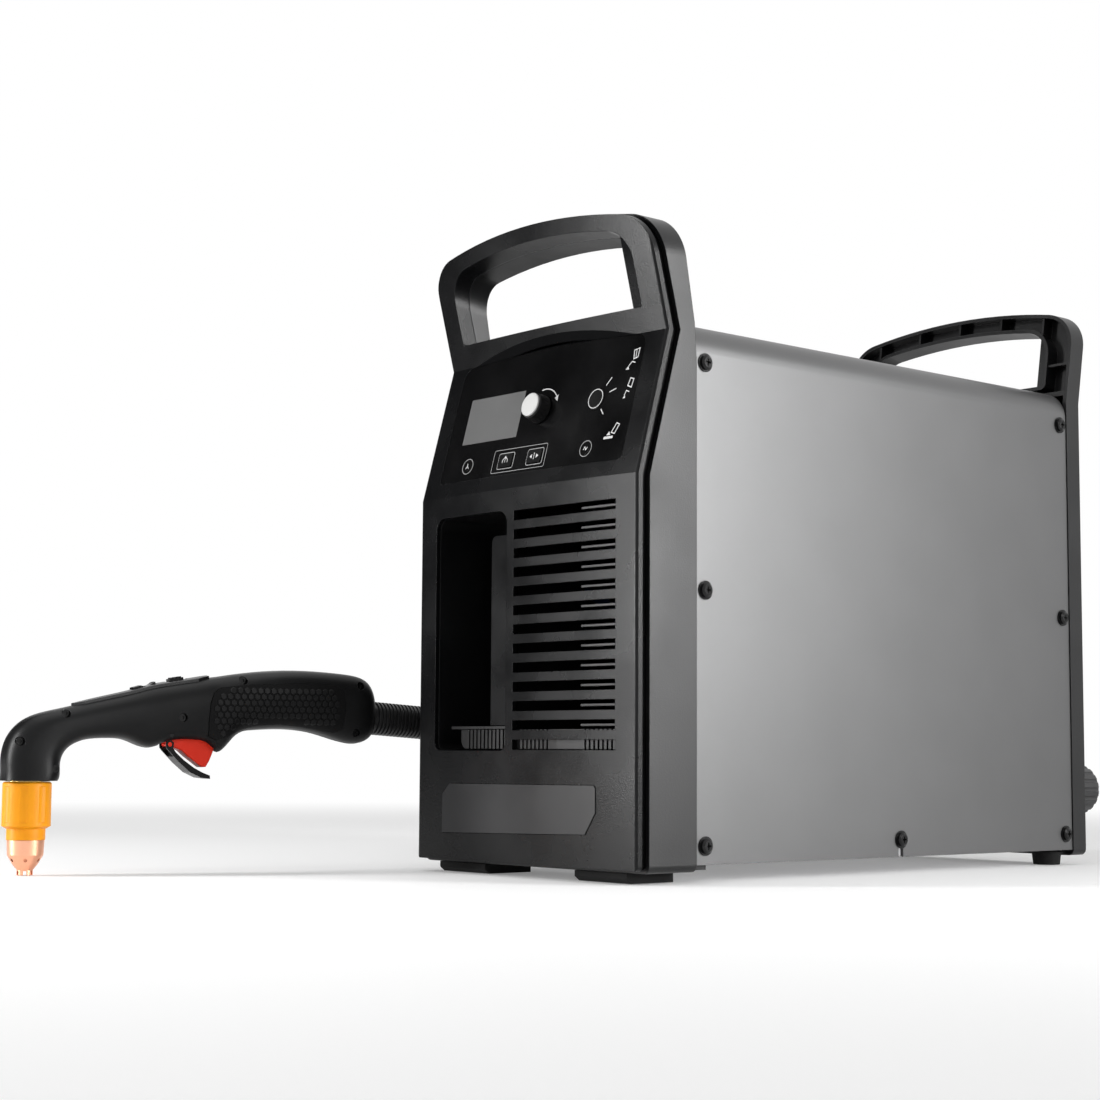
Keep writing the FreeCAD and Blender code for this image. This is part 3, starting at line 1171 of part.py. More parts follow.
def gas_valve():
    x, y = VALVE
    body = box(x - 18, x + 18, y - 16, y + 16, FLOOR_Z, FLOOR_Z + 34)
    coil = box(x - 15, x + 15, y - 20, y + 20, FLOOR_Z + 34, FLOOR_Z + 74)
    stem = rod(5, (x, y, FLOOR_Z + 73), (x, y, FLOOR_Z + 80))
    ports = [rod(5.5, (x, y + 15, FLOOR_Z + 17), (x, y + 24, FLOOR_Z + 17)),
             rod(5.5, (x - 25, y, FLOOR_Z + 17), (x - 17, y, FLOOR_Z + 17))]
    return fuse([body, coil, stem] + ports)


def route_tube(points, radius, name):
    """A round tube along straight runs joined by tangent arcs; prints its tightest radius."""
    corners = [Vector(*p) for p in points]
    edges = []
    start = corners[0]
    tightest = None
    length = 0.0
    for before, corner, after in zip(corners, corners[1:], corners[2:]):
        into, out = corner - before, after - corner
        half = into.getAngle(out) / 2
        reach = 0.45 * min(into.Length, out.Length)
        bend = reach / math.tan(half)
        tightest = bend if tightest is None else min(tightest, bend)
        into.normalize()
        out.normalize()
        a, b = corner - into * reach, corner + out * reach
        toward = (out - into).normalize()
        middle = corner + toward * (bend / math.cos(half) - bend)
        edges += [Part.LineSegment(start, a).toShape(), Part.Arc(a, middle, b).toShape()]
        length += (a - start).Length + 2 * half * bend
        start = b
    edges.append(Part.LineSegment(start, corners[-1]).toShape())
    length += (corners[-1] - start).Length
    path = Part.Wire(edges)
    ring = Part.Wire(Part.makeCircle(radius, corners[0], corners[1] - corners[0]))
    tube = path.makePipeShell([ring], True, False)
    print(name, "length", round(length, 1), "tightest radius", round(tightest, 1),
          "volume ratio", round(tube.Volume / (math.pi * radius ** 2 * length), 4))
    return tube


def air_hoses():
    vx, vy = VALVE
    rx, rz = RECEPTACLE
    low = FLOOR_Z + 17
    out_y = PANEL_FRONT - 12.1 - 46 - 6
    x, z = INLET
    supply = [(x, out_y, z), (x, out_y - 40, z - 6), (x + 14, out_y - 85, z - 40),
              (x + 20, out_y - 120, z - 95), (x + 14, out_y - 150, z - 140), (x + 4, out_y - 190, low + 2),
              (vx, vy + 60, low), (vx, vy + 24, low)]
    y_in = FRONT_Y + BAY_DEPTH + 22
    feed = [(vx - 25, vy, low), (vx - 60, vy, low), (vx - 94, vy + 11, low + 15),
            (vx - 120, vy + 33, low + 45), (rx + 6, vy + 51, rz - 95), (rx, vy + 61, rz - 57),
            (rx, vy + 51, rz - 19), (rx, vy + 19, rz), (rx, y_in, rz)]
    return [route_tube(supply, HOSE_RADIUS, "supply hose"), route_tube(feed, HOSE_RADIUS, "feed hose")]


# Torch
TORCH_FRAME = Placement(Vector(TORCH_TIP[0], TORCH_TIP[1], 0), Rotation(Vector(0, 0, 1), TORCH_HEADING))


def station_points(outer, inner, width, inset):
    """Points of a rounded section, over its +Y side from the outer to the inner point."""
    a = Vector(outer[0], 0, outer[1])
    b = Vector(inner[0], 0, inner[1])
    across = (a - b) * 0.5
    half = across.Length - inset
    across.normalize()
    points = []
    for i in range(9):
        turn = math.pi * i / 8
        along = math.copysign(abs(math.cos(turn)) ** SQUARENESS, math.cos(turn))
        aside = math.sin(turn) ** SQUARENESS if 0 < i < 8 else 0.0
        points.append((a + b) * 0.5 + across * (half * along) + Vector(0, (width / 2 - inset) * aside, 0))
    return points


def handle_form(inset, stations=HANDLE_STATIONS):
    """The handle's outline as a solid, drawn as one side and mirrored."""
    rows = [station_points(outer, inner, width, inset) for outer, inner, width in stations]
    surface = Part.BSplineSurface()
    surface.interpolate(rows)
    u0, u1, v0, v1 = surface.bounds()
    ends = [Part.makeLine(row[0], row[-1]) for row in (rows[0], rows[-1])]
    middle = [surface.vIso(v0).toShape(), ends[1], surface.vIso(v1).toShape(), ends[0]]
    faces = [surface.toShape(), Part.Face(Part.Wire(Part.__sortEdges__(middle)))]
    for u, end in zip((u0, u1), ends):
        faces.append(Part.Face(Part.Wire(Part.__sortEdges__([surface.uIso(u).toShape(), end]))))
    shell = Part.Shell(faces)
    shell.sewShape()
    side = Part.Solid(shell)
    if side.Volume < 0:
        side.reverse()
    return side.fuse(side.mirror(Vector(0, 0, 0), Vector(0, 1, 0)))


def in_torch(shape):
    placed = shape.copy()
    placed.Placement = TORCH_FRAME.multiply(placed.Placement)
    return placed


def screw_site(x, z, radius, y0, y1):
    return rod(radius, (x, y0, z), (x, y1, z))


def torch_halves():
    outer = handle_form(0)
    low = HANDLE_STATIONS[0]
    below = ((low[0][0], HEAD_LOW - 3), (low[1][0], HEAD_LOW - 3), low[2])
    hollow = handle_form(TORCH_WALL, (below,) + HANDLE_STATIONS[1:-1])
    shell = outer.cut(hollow)
    inner = handle_form(0.5)
    posts = [screw_site(x, z, SCREW_POST, -25, 25).common(inner) for x, z in TORCH_SCREWS]
    x, z = TRIGGER_PIVOT
    posts.append(rod(4.0, (x, -17, z), (x, 17, z)).common(inner))
    posts.append(rod(4.6, (SPRING_X, 0, SPRING_HIGH + 0.1), (SPRING_X, 0, 140)).common(inner))
    x, z = ROCKER_PIVOT
    posts.append(rod(3.0, (x, -7.5, z), (x, 7.5, z)))
    slot = box(89.5, 136.0, -TRIGGER_SLOT, TRIGGER_SLOT, 60, 106)
    shell = shell.fuse(posts).cut(slot)
    x, z = TRIGGER_PIVOT
    mouth = SLEEVE_START + 8
    cuts = [rod(PIN_RADIUS + 0.02, (x, -15, z), (x, 15, z)),
            rod(LEAD_RADIUS + 0.6, (mouth - 25, 0, SLEEVE_Z), (mouth, 0, SLEEVE_Z)),
            rod(SLEEVE_ROOT + 0.7, (SLEEVE_START - 0.6, 0, SLEEVE_Z), (mouth, 0, SLEEVE_Z))]
    for x, z in TORCH_SCREWS:
        cuts.append(screw_site(x, z, 1.5, -25, 6))
        cuts.append(screw_site(x, z, 3.0, -30, screw_seat(outer, x, z)))
    cuts += [strip_solid(0.1, 3.0), inlay_solid(0.1, 3.0, -1), inlay_solid(0.1, 3.0, 1)]
    cuts += [strip_opening(ROCKER, ROCKER_GAP), strip_opening(LOCK, LOCK_TRAVEL + 2.0), rocker_pin(PIN_FIT)]
    shell = shell.cut(cuts)
    left = shell.common(box(-60, 300, 0.02, 60, 0, 200))
    right = shell.common(box(-60, 300, -60, -0.02, 0, 200))
    return left, right


def screw_seat(outer, x, z):
    """Y of the shoulder that a screw's head bears on, below the right half's surface."""
    ray = Part.makeLine(Vector(x, -40, z), Vector(x, 0, z)).common(outer)
    return min(v.Point.y for v in ray.Vertexes) + 4.5


def torch_screws():
    screws = []
    outer = handle_form(0)
    for x, z in TORCH_SCREWS:
        seat = screw_seat(outer, x, z)
        screw = fuse([screw_site(x, z, 2.8, seat - 2.3, seat - 0.05), screw_site(x, z, 1.45, seat - 1, 5)])
        socket = screw_site(x, z, 1.3, seat - 3, seat - 1.2)
        screws.append(in_torch(screw.cut(socket)))
    return screws


def inlay_solid(clearance, proud, side):
    cx = sum(x for x, _ in INLAY_OUTLINE) / len(INLAY_OUTLINE)
    cz = sum(z for _, z in INLAY_OUTLINE) / len(INLAY_OUTLINE)
    grow = 1 + clearance / 18.0
    outline = [(cx + (x - cx) * grow, cz + (z - cz) * grow) for x, z in INLAY_OUTLINE]
    column = prism_y(outline, 6 * side, 40 * side)
    return column.common(handle_form(-proud)).cut(handle_form(1.3))


def strip_solid(clearance, proud):
    grow = 1 + clearance / 9.0
    column = polygon([(78 + (x - 78) * (1 + clearance / 48), y * grow, 112) for x, y in STRIP_OUTLINE])
    return column.extrude(Vector(0, 0, 40)).common(handle_form(-proud)).cut(handle_form(1.4))


def strip_opening(span, clearance):
    x0, x1 = span
    return box(x0 - clearance, x1 + clearance, -4.4, 4.4, 118, 150)


def torch_control_strip():
    strip = strip_solid(0, STRIP_PROUD)
    bumps = []
    for x in (50, 55, 60):
        z = 118.8 + 0.2 * (x - 44)
        bumps.append(rod(1.2, (x, -5.5, z), (x, 5.5, z)))
    strip = strip.fuse([b.common(handle_form(-STRIP_PROUD - 0.9)) for b in bumps])
    return in_torch(strip.cut([strip_opening(ROCKER, ROCKER_GAP), strip_opening(LOCK, 0.4 + LOCK_TRAVEL)]))


def rocker_pin(clearance):
    x, z = ROCKER_PIVOT
    reach = 6.4 + 5 * clearance
    return rod(1.2 + clearance, (x, -reach, z), (x, reach, z))


def torch_rocker():
    x0, x1 = ROCKER
    column = box(x0, x1, -4.0, 4.0, 119.5, 150)
    rocker = column.common(handle_form(-STRIP_PROUD - 1.4))
    dip = rod(9, ((x0 + x1) / 2, -6, 138.6), ((x0 + x1) / 2, 6, 138.6))
    return in_torch(rocker.cut(dip).fuse(rocker_pin(0)))


def torch_lock_switch():
    x0, x1 = LOCK
    tilt = math.degrees(math.atan(LOCK_SLOPE))
    middle = (x0 + x1) / 2
    half = (x1 - x0) / 2
    ribs = [box(k - 0.5, k + 0.5, -4.0, 4.0, 3.0, 4.2) for k in (-3, 0, 3)]
    button = fuse([box(-half, half, -4.0, 4.0, -9, 3.4)] + ribs)
    button.rotate(Vector(0, 0, 0), Vector(0, 1, 0), -tilt)
    button.translate(Vector(middle, 0, 132.4))
    return in_torch(button)


def torch_trigger():
    trigger = prism_y(TRIGGER_OUTLINE, -TRIGGER_HALF, TRIGGER_HALF)
    long_edges = [e for e in trigger.Edges
                  if abs(e.CenterOfMass.y) > TRIGGER_HALF - 0.1 and e.CenterOfMass.z < 88]
    trigger = trigger.makeFillet(1.2, long_edges)
    x, z = TRIGGER_PIVOT
    bore = rod(PIN_RADIUS + PIN_FIT, (x, -9, z), (x, 9, z))
    x, z = SAFETY_PIVOT
    side = rod(PIN_RADIUS, (x, -SAFETY_HALF, z), (x, SAFETY_HALF, z))
    spring_seat = rod(4.0, (SPRING_X, 0, 97.2), (SPRING_X, 0, 105))
    return in_torch(trigger.fuse(side).cut([bore, spring_seat]))


def trigger_safety():
    whole = prism_y(SAFETY_OUTLINE, -SAFETY_HALF, SAFETY_HALF)
    room = TRIGGER_HALF + SAFETY_GAP
    clear = box(80, 101.8, -room, room, 80.5, 110)
    x, z = SAFETY_PIVOT
    bore = rod(PIN_RADIUS + PIN_FIT, (x, -12, z), (x, 12, z))
    return in_torch(whole.cut([clear, bore]))


def trigger_pin():
    x, z = TRIGGER_PIVOT
    return in_torch(rod(PIN_RADIUS, (x, -14.5, z), (x, 14.5, z)))


def trigger_spring():
    """Return spring between the trigger and the handle's inner rib."""
    pitch = (SPRING_HIGH - SPRING_LOW - 1.6) / 5
    helix = Part.makeHelix(pitch, pitch * 5, 2.6)
    ring = Part.Wire(Part.makeCircle(0.45, Vector(2.6, 0, 0), Vector(0, 1, 0)))
    spring = Part.Wire(helix).makePipeShell([ring], True, True)
    spring.translate(Vector(SPRING_X, 0, SPRING_LOW + 0.8))
    return in_torch(spring)


def torch_head():
    """Head block in the neck with the spigot and electrode that the cartridge turns on."""
    block = rod(14.2, (0.8, 0, HEAD_LOW + 0.2), (0.8, 0, HEAD_LOW + 20))
    block = block.cut([screw_site(x, z, SCREW_POST + 0.2, -25, 25) for x, z in TORCH_SCREWS[:3]])
    spigot = rod(SPIGOT_RADIUS, (0, 0, CAP_STEP + 6), (0, 0, HEAD_LOW + 1))
    flange = rod(15.0, (0.3, 0, HEAD_LOW - 0.4), (0.3, 0, HEAD_LOW + 1))
    pipe = rod(5, (0.8, 0, HEAD_LOW + 19), (0.8, 0, HEAD_LOW + 30))
    electrode = rod(4.0, (0, 0, 14), (0, 0, CAP_STEP + 7))
    return in_torch(fuse([block, spigot, flange, pipe, electrode]))


def cartridge_body():
    cap = fuse([rod(CAP_RADIUS, (0, 0, CAP_STEP), (0, 0, CAP_HIGH - 1)),
                cone(CAP_RADIUS, CAP_RADIUS - 1, (0, 0, CAP_HIGH - 1), (0, 0, CAP_HIGH)),
                cone(13.6, CAP_RADIUS, (0, 0, CAP_STEP - 1.6), (0, 0, CAP_STEP)),
                rod(13.0, (0, 0, CAP_LOW), (0, 0, CAP_STEP))])
    flats = []
    for i in range(8):
        turn = 2 * math.pi * (i + 0.5) / 8
        reach = CAP_RADIUS + 8.6
        flats.append(rod(9.2, (reach * math.cos(turn), reach * math.sin(turn), CAP_STEP + 2.5),
                         (reach * math.cos(turn), reach * math.sin(turn), CAP_HIGH - 3)))
    bores = [rod(SPIGOT_RADIUS + SPIGOT_FIT, (0, 0, CAP_STEP + 5.8), (0, 0, CAP_HIGH + 1)),
             rod(NOZZLE_RADIUS - 2.5, (0, 0, CAP_LOW - 1), (0, 0, CAP_STEP)),
             rod(5.0, (0, 0, 0), (0, 0, CAP_HIGH))]
    return in_torch(cap.cut(flats + bores))


def cartridge_nozzle():
    """Copper shield with its crenellated tip."""
    outer = [rod(5.4, (0, 0, 0), (0, 0, 3.4)), cone(5.4, 8.6, (0, 0, 3.4), (0, 0, 7.4)),
             cone(8.6, 12.1, (0, 0, 7.4), (0, 0, 13.5)),
             cone(12.1, NOZZLE_RADIUS, (0, 0, 13.5), (0, 0, CAP_LOW - 0.1)),
             rod(NOZZLE_RADIUS - 2.6, (0, 0, CAP_LOW - 0.2), (0, 0, CAP_STEP - 1))]
    cuts = [rod(4.5, (0, 0, 12), (0, 0, CAP_STEP)), rod(3.0, (0, 0, -1), (0, 0, 13))]
    for i in range(6):
        turn = 60 * i + 15
        notch = box(2, 9, -1.1, 1.1, -1, 2.8)
        notch.rotate(Vector(0, 0, 0), Vector(0, 0, 1), turn)
        cuts.append(notch)
        a = math.radians(turn)
        c, d = math.cos(a), math.sin(a)
        cuts.append(rod(1.2, (4 * c, 4 * d, 10.2), (16 * c, 16 * d, 10.2)))
    return in_torch(fuse(outer).cut(cuts))


# Lead
def sleeve_frame():
    turn = Rotation(Vector(0, 1, 0), SLEEVE_DROP)
    return TORCH_FRAME.multiply(Placement(Vector(SLEEVE_START, 0, SLEEVE_Z), turn))


def lead_sleeve():
    """Ribbed bend relief behind the handle, with the lead's bore through it."""
    plain = 5.0
    ribs = int((SLEEVE_LENGTH - plain - SLEEVE_GRIP) / SLEEVE_PITCH)
    outer, root = SLEEVE_RADIUS, SLEEVE_ROOT
    stations = [(0, root), (plain, root)]
    for i in range(ribs):
        x = plain + i * SLEEVE_PITCH
        for part, radius in ((0.15, root), (0.35, outer), (0.75, outer), (0.95, root)):
            stations.append((x + part * SLEEVE_PITCH, radius))
    stations += [(SLEEVE_LENGTH, root)]
    wires = [Part.Wire(Part.makeCircle(r, Vector(x, 0, 0), Vector(1, 0, 0))) for x, r in stations]
    bore = rod(LEAD_RADIUS + 0.05, (-1, 0, 0), (SLEEVE_LENGTH + 1, 0, 0))
    sleeve = Part.makeLoft(wires, True, True).cut(bore)
    sleeve.Placement = sleeve_frame()
    return sleeve


def sleeve_point(along):
    p = sleeve_frame().multVec(Vector(along, 0, 0))
    return (p.x, p.y, p.z)


def beside_case(points):
    """Points whose X counts from the case's left flank."""
    return [(x - BODY_HALF, y, z) for x, y, z in points]


def lead_run():
    start = sleeve_point(SLEEVE_LENGTH - SLEEVE_GRIP)
    leave = sleeve_point(SLEEVE_LENGTH + 34)
    end = (COIL_CENTRE[0] + COIL_RADIUS, COIL_CENTRE[1] - LEAD_END - LEAD_JOINT, LEAD_RADIUS)
    return route_tube([start, leave, *beside_case(RUN_POINTS), end], LEAD_RADIUS, "lead run")


def lead_tail():
    start = (COIL_CENTRE[0] + COIL_RADIUS, COIL_CENTRE[1] + LEAD_END + LEAD_JOINT, COIL_TOP)
    return route_tube([start, *beside_case(TAIL_POINTS), PLUG_START], LEAD_RADIUS, "lead tail")


def biarc(p0, t0, p1, t1):
    """Two tangent arcs between two points with given directions."""
    v = p1 - p0
    t = t0 + t1
    a = 2 * (1 - t0.dot(t1))
    b = 2 * v.dot(t)
    d = (-b + math.sqrt(b * b + 4 * a * v.dot(v))) / (2 * a)
    q0, q1 = p0 + t0 * d, p1 - t1 * d
    joint = (q0 + q1) * 0.5
    arcs = []
    for start, knee, end in ((p0, q0, joint), (joint, q1, p1)):
        chord = (start + end) * 0.5
        cosine = (end - start).Length / 2 / (knee - start).Length
        middle = chord + (knee - chord) * (cosine / (1 + cosine))
        arcs.append(Part.Arc(start, middle, end))
    return arcs


def coil_state(turns):
    """Position and direction of the coiled lead after a number of turns."""
    layer = min(int(turns / COIL_TURNS), COIL_LAYERS - 1)
    within = turns - layer * COIL_TURNS
    sweep = COIL_PITCH * COIL_TURNS
    inward = layer % 2 == 0
    radius = COIL_RADIUS - (COIL_PITCH * within if inward else sweep - COIL_PITCH * within)
    rate = -COIL_PITCH if inward else COIL_PITCH
    nearest = round(turns / COIL_TURNS)
    away = turns - nearest * COIL_TURNS
    if abs(away) < 1e-6:
        rate = 0.0
    z = LEAD_RADIUS + layer * COIL_PITCH
    climb = 0.0
    if 0 < nearest < COIL_LAYERS and abs(away) < 0.25 + 1e-6:
        u = (away + 0.25) / 0.5
        z = LEAD_RADIUS + (nearest - 1) * COIL_PITCH + COIL_PITCH * u * u * (3 - 2 * u)
        climb = COIL_PITCH * 6 * u * (1 - u) / 0.5
    angle = 2 * math.pi * turns
    place = Vector(COIL_CENTRE[0] + radius * math.cos(angle), COIL_CENTRE[1] + radius * math.sin(angle), z)
    way = Vector(rate * math.cos(angle) - 2 * math.pi * radius * math.sin(angle),
                 rate * math.sin(angle) + 2 * math.pi * radius * math.cos(angle), climb)
    return place, way.normalize()


def lead_coil():
    total = COIL_LAYERS * COIL_TURNS
    count = int(total * 4)
    states = [coil_state(total * i / count) for i in range(count + 1)]
    first, last = states[0], states[-1]
    reach = LEAD_END - LEAD_JOINT
    start = first[0] - first[1] * reach
    edges = [Part.LineSegment(start, first[0])]
    for (p0, t0), (p1, t1) in zip(states, states[1:]):
        edges += biarc(p0, t0, p1, t1)
    edges.append(Part.LineSegment(last[0], last[0] + last[1] * reach))
    path = Part.Wire([e.toShape() for e in edges])
    ring = Part.Wire(Part.makeCircle(LEAD_RADIUS, start, first[1]))
    tube = path.makePipeShell([ring], True, False)
    samples = []
    for edge in path.Edges:
        steps = 12
        samples += [edge.valueAt(edge.FirstParameter + (edge.LastParameter - edge.FirstParameter) * k / steps)
                    for k in range(steps)]
    least = None
    apart = 40
    for i, p in enumerate(samples):
        for q in samples[i + apart:]:
            distance = (p - q).Length
            least = distance if least is None else min(least, distance)
    length = path.Length
    print("lead coil length", round(length, 1), "least gap", round(least - 2 * LEAD_RADIUS, 2),
          "volume ratio", round(tube.Volume / (math.pi * LEAD_RADIUS ** 2 * length), 4))
    return tube


def torch_plug():
    """Quick-release plug with its bend relief, lying on the floor by the coil."""
    boot = cone(LEAD_RADIUS + 2.2, 13.0, (0, 0, 0), (BOOT_LENGTH, 0, 0))
    rings = [rod(10.4 + 0.09 * x, (x, 0, 0), (x + 3, 0, 0)) for x in (6, 12, 18, 24, 30)]
    body = rod(PLUG_RADIUS - 1.5, (BOOT_LENGTH - 1, 0, 0), (BOOT_LENGTH + 38, 0, 0))
    collar = rod(PLUG_RADIUS, (BOOT_LENGTH + 8, 0, 0), (BOOT_LENGTH + 30, 0, 0))
    nose = rod(PLUG_BORE - 0.4, (BOOT_LENGTH + 36, 0, 0), (BOOT_LENGTH + PLUG_LENGTH, 0, 0))
    plug = fuse([boot, body, collar, nose] + rings)
    cuts = [rod(12.5, (BOOT_LENGTH + PLUG_LENGTH - 9, 0, 0), (BOOT_LENGTH + PLUG_LENGTH + 1, 0, 0)),
            rod(LEAD_RADIUS + 0.6, (-1, 0, 0), (3, 0, 0))]
    pins = [rod(1.5, (BOOT_LENGTH + PLUG_LENGTH - 10, 8.5 * math.cos(a), 8.5 * math.sin(a)),
                (BOOT_LENGTH + PLUG_LENGTH - 1, 8.5 * math.cos(a), 8.5 * math.sin(a)))
            for a in [2 * math.pi * i / 5 for i in range(5)]]
    gas = rod(3.9, (BOOT_LENGTH + PLUG_LENGTH - 10, 0, 0), (BOOT_LENGTH + PLUG_LENGTH - 0.5, 0, 0))
    plug = plug.cut(cuts).fuse(pins + [gas])
    plug.Placement = Placement(Vector(*PLUG_START), Rotation(Vector(0, 0, 1), PLUG_HEADING))
    return plug


def main():
    os.makedirs("parts", exist_ok=True)
    save("front_shell", front_shell())
    save("front_face", front_face())
    save("control_panel", control_panel())
    save("display_lens", display_lens())
    save("control_board", control_board())
    save("encoder_shaft", encoder_shaft())
    save("adjust_knob", adjust_knob())
    save("knob_cap", knob_cap())
    save("mode_button", mode_button())
    save("gas_button", key_button(KEY_XS[0]))
    save("amps_button", key_button(KEY_XS[1]))
    save("indicator_lenses", indicator_lenses())
    save("badge_plate", badge_solid(0, BADGE_PROUD, BADGE_SUNK))
    save("bay_liner", bay_liner())
    save("vent_insert", vent_insert())
    save("torch_receptacle", torch_receptacle())
    save("release_button", release_button())
    save("work_lead_socket", work_lead_socket())
    save("cover", cover())
    save("cover_screws", cover_screws())
    save("base_pan", base_pan())
    save("front_feet", front_feet())
    save("rear_feet", rear_feet())
    save("rear_bezel", rear_bezel())
    save("rear_panel", rear_panel())
    save("cord_gland", cord_gland())
    save("gland_nut", gland_nut())
    save("power_switch_body", power_switch_body())
    save("power_switch_knob", power_switch_knob())
    save("air_inlet", air_inlet())
    save("filter_regulator", filter_regulator())
    save("fan_frame", fan_frame())
    save("fan_rotor", fan_rotor())
    save("bulkhead", bulkhead())
    save("heatsink", heatsink())
    save("power_board", power_board())
    save("capacitors", capacitors())
    save("transformer", transformer())
    save("output_choke", output_choke())
    save("gas_valve", gas_valve())
    save("air_hoses", air_hoses())
    left, right = torch_halves()
    save("torch_shell_left", in_torch(left))
    save("torch_shell_right", in_torch(right))
    save("torch_screws", torch_screws())
    save("grip_inlays", [in_torch(inlay_solid(0, INLAY_PROUD, side)) for side in (-1, 1)])
    save("torch_control_strip", torch_control_strip())
    save("torch_rocker", torch_rocker())
    save("torch_lock_switch", torch_lock_switch())
    save("torch_trigger", torch_trigger())
    save("trigger_safety", trigger_safety())
    save("trigger_pin", trigger_pin())
    save("trigger_spring", trigger_spring())
    save("torch_head", torch_head())
    save("cartridge_body", cartridge_body())
    save("cartridge_nozzle", cartridge_nozzle())
    save("lead_sleeve", lead_sleeve())
    save("lead_run", lead_run())
    save("lead_coil", lead_coil())
    save("lead_tail", lead_tail())
    save("torch_plug", torch_plug())


main()
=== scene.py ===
import json
import math
import bmesh
import bpy
from mathutils import Matrix, Vector
from mathutils.bvhtree import BVHTree


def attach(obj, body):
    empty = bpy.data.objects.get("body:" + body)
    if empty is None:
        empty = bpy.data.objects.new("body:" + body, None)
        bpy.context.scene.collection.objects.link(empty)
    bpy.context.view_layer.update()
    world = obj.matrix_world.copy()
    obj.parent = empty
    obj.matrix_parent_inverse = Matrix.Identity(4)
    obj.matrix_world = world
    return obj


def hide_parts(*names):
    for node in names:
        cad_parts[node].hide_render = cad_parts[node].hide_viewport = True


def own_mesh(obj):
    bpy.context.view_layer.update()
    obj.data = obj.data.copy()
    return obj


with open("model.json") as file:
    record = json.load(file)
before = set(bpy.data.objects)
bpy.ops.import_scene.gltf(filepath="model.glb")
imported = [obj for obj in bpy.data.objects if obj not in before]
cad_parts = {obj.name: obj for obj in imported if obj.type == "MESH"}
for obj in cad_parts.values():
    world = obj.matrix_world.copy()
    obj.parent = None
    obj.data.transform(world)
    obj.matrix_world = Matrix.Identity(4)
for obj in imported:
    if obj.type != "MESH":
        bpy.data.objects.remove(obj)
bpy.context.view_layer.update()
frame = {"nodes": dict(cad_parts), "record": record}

NODES = frame["nodes"]

# The case frame of the model's drawing, in millimetres, and its shift to the row frame
SHIFT = Vector((57.578, 121.077, 0.0))
TORCH_TIP = (-215.8, -503.5)
TORCH_HEADING = math.radians(78.93)


def place(x, y, z):
    """A point of the case frame, in millimetres, as a point of the row frame, in metres."""
    return (Vector((x, y, z)) + SHIFT) / 1000


def in_torch(x, y, z):
    """A point of the torch's own frame: X along the handle, Z up from the nozzle's tip."""
    c, s = math.cos(TORCH_HEADING), math.sin(TORCH_HEADING)
    return place(TORCH_TIP[0] + x * c - y * s, TORCH_TIP[1] + x * s + y * c, z)


def around(centre, angle, radius):
    """The point at an angle, in degrees, and a radius from a centre, in a plane."""
    turn = math.radians(angle)
    return (centre[0] + radius * math.cos(turn), centre[1] + radius * math.sin(turn))


# Camera
AZIMUTH = math.radians(48.93)
PITCH = math.radians(5.44)
ROLL = math.radians(0.36)
CAMERA_SPOT = Vector((1.17378, -1.07222, 0.0849))
FOCAL_PIXELS = 2126.87
IMAGE_PIXELS = 1100
SENSOR = 36.0


def make_camera():
    data = bpy.data.cameras.new("camera")
    data.sensor_width = SENSOR
    data.lens = FOCAL_PIXELS / IMAGE_PIXELS * SENSOR
    data.clip_start = 0.05
    camera = bpy.data.objects.new("camera", data)
    bpy.context.scene.collection.objects.link(camera)
    level = Vector((math.cos(AZIMUTH), math.sin(AZIMUTH), 0))
    ahead = Vector((-math.sin(AZIMUTH), math.cos(AZIMUTH), 0))
    forward = ahead * math.cos(PITCH) + Vector((0, 0, math.sin(PITCH)))
    right = level * math.cos(ROLL) + level.cross(forward) * math.sin(ROLL)
    up = right.cross(forward)
    camera.matrix_world = Matrix((
        (right.x, up.x, -forward.x, CAMERA_SPOT.x),
        (right.y, up.y, -forward.y, CAMERA_SPOT.y),
        (right.z, up.z, -forward.z, CAMERA_SPOT.z),
        (0, 0, 0, 1)))
    bpy.context.scene.camera = camera


# Lead
LEAD_RADIUS = 7.5
COIL_CENTRE = (-275.0, 86.0)
COIL_RADIUS = 129.5
COIL_PITCH = 15.7
COIL_LAYERS = 4
LAYER_TURNS = 2.5
COIL_STEPS = 20             # spline points in each turn
SLEEVE_START = 253.0
SLEEVE_Z = 109.8
SLEEVE_DROP = math.radians(4.0)
ROUTE_START = (102.0, 148.0)      # two route points inside and just past the sleeve, along its axis
COIL_JOIN = 15.0            # how far from the coil's ends the route is pinned
CLIMB = 0.25                # share of a turn, each side of a layer's end, over which the lead climbs
RUN_POINTS = ((-134.5, -64, 80), (-135.5, -20, 46), (-139, 16, 19), (-144, 46, 8.6))
TAIL_POINTS = ((-144, 137, 51), (-160, 182, 33), (-191, 213, 15), (-229, 231, 7.5), (-268, 238.5, 8.2),
               (-306, 237, 13), (-342, 226, 18))


def sleeve_point(along):
    x = SLEEVE_START + along * math.cos(SLEEVE_DROP)
    return in_torch(x, 0, SLEEVE_Z - along * math.sin(SLEEVE_DROP))


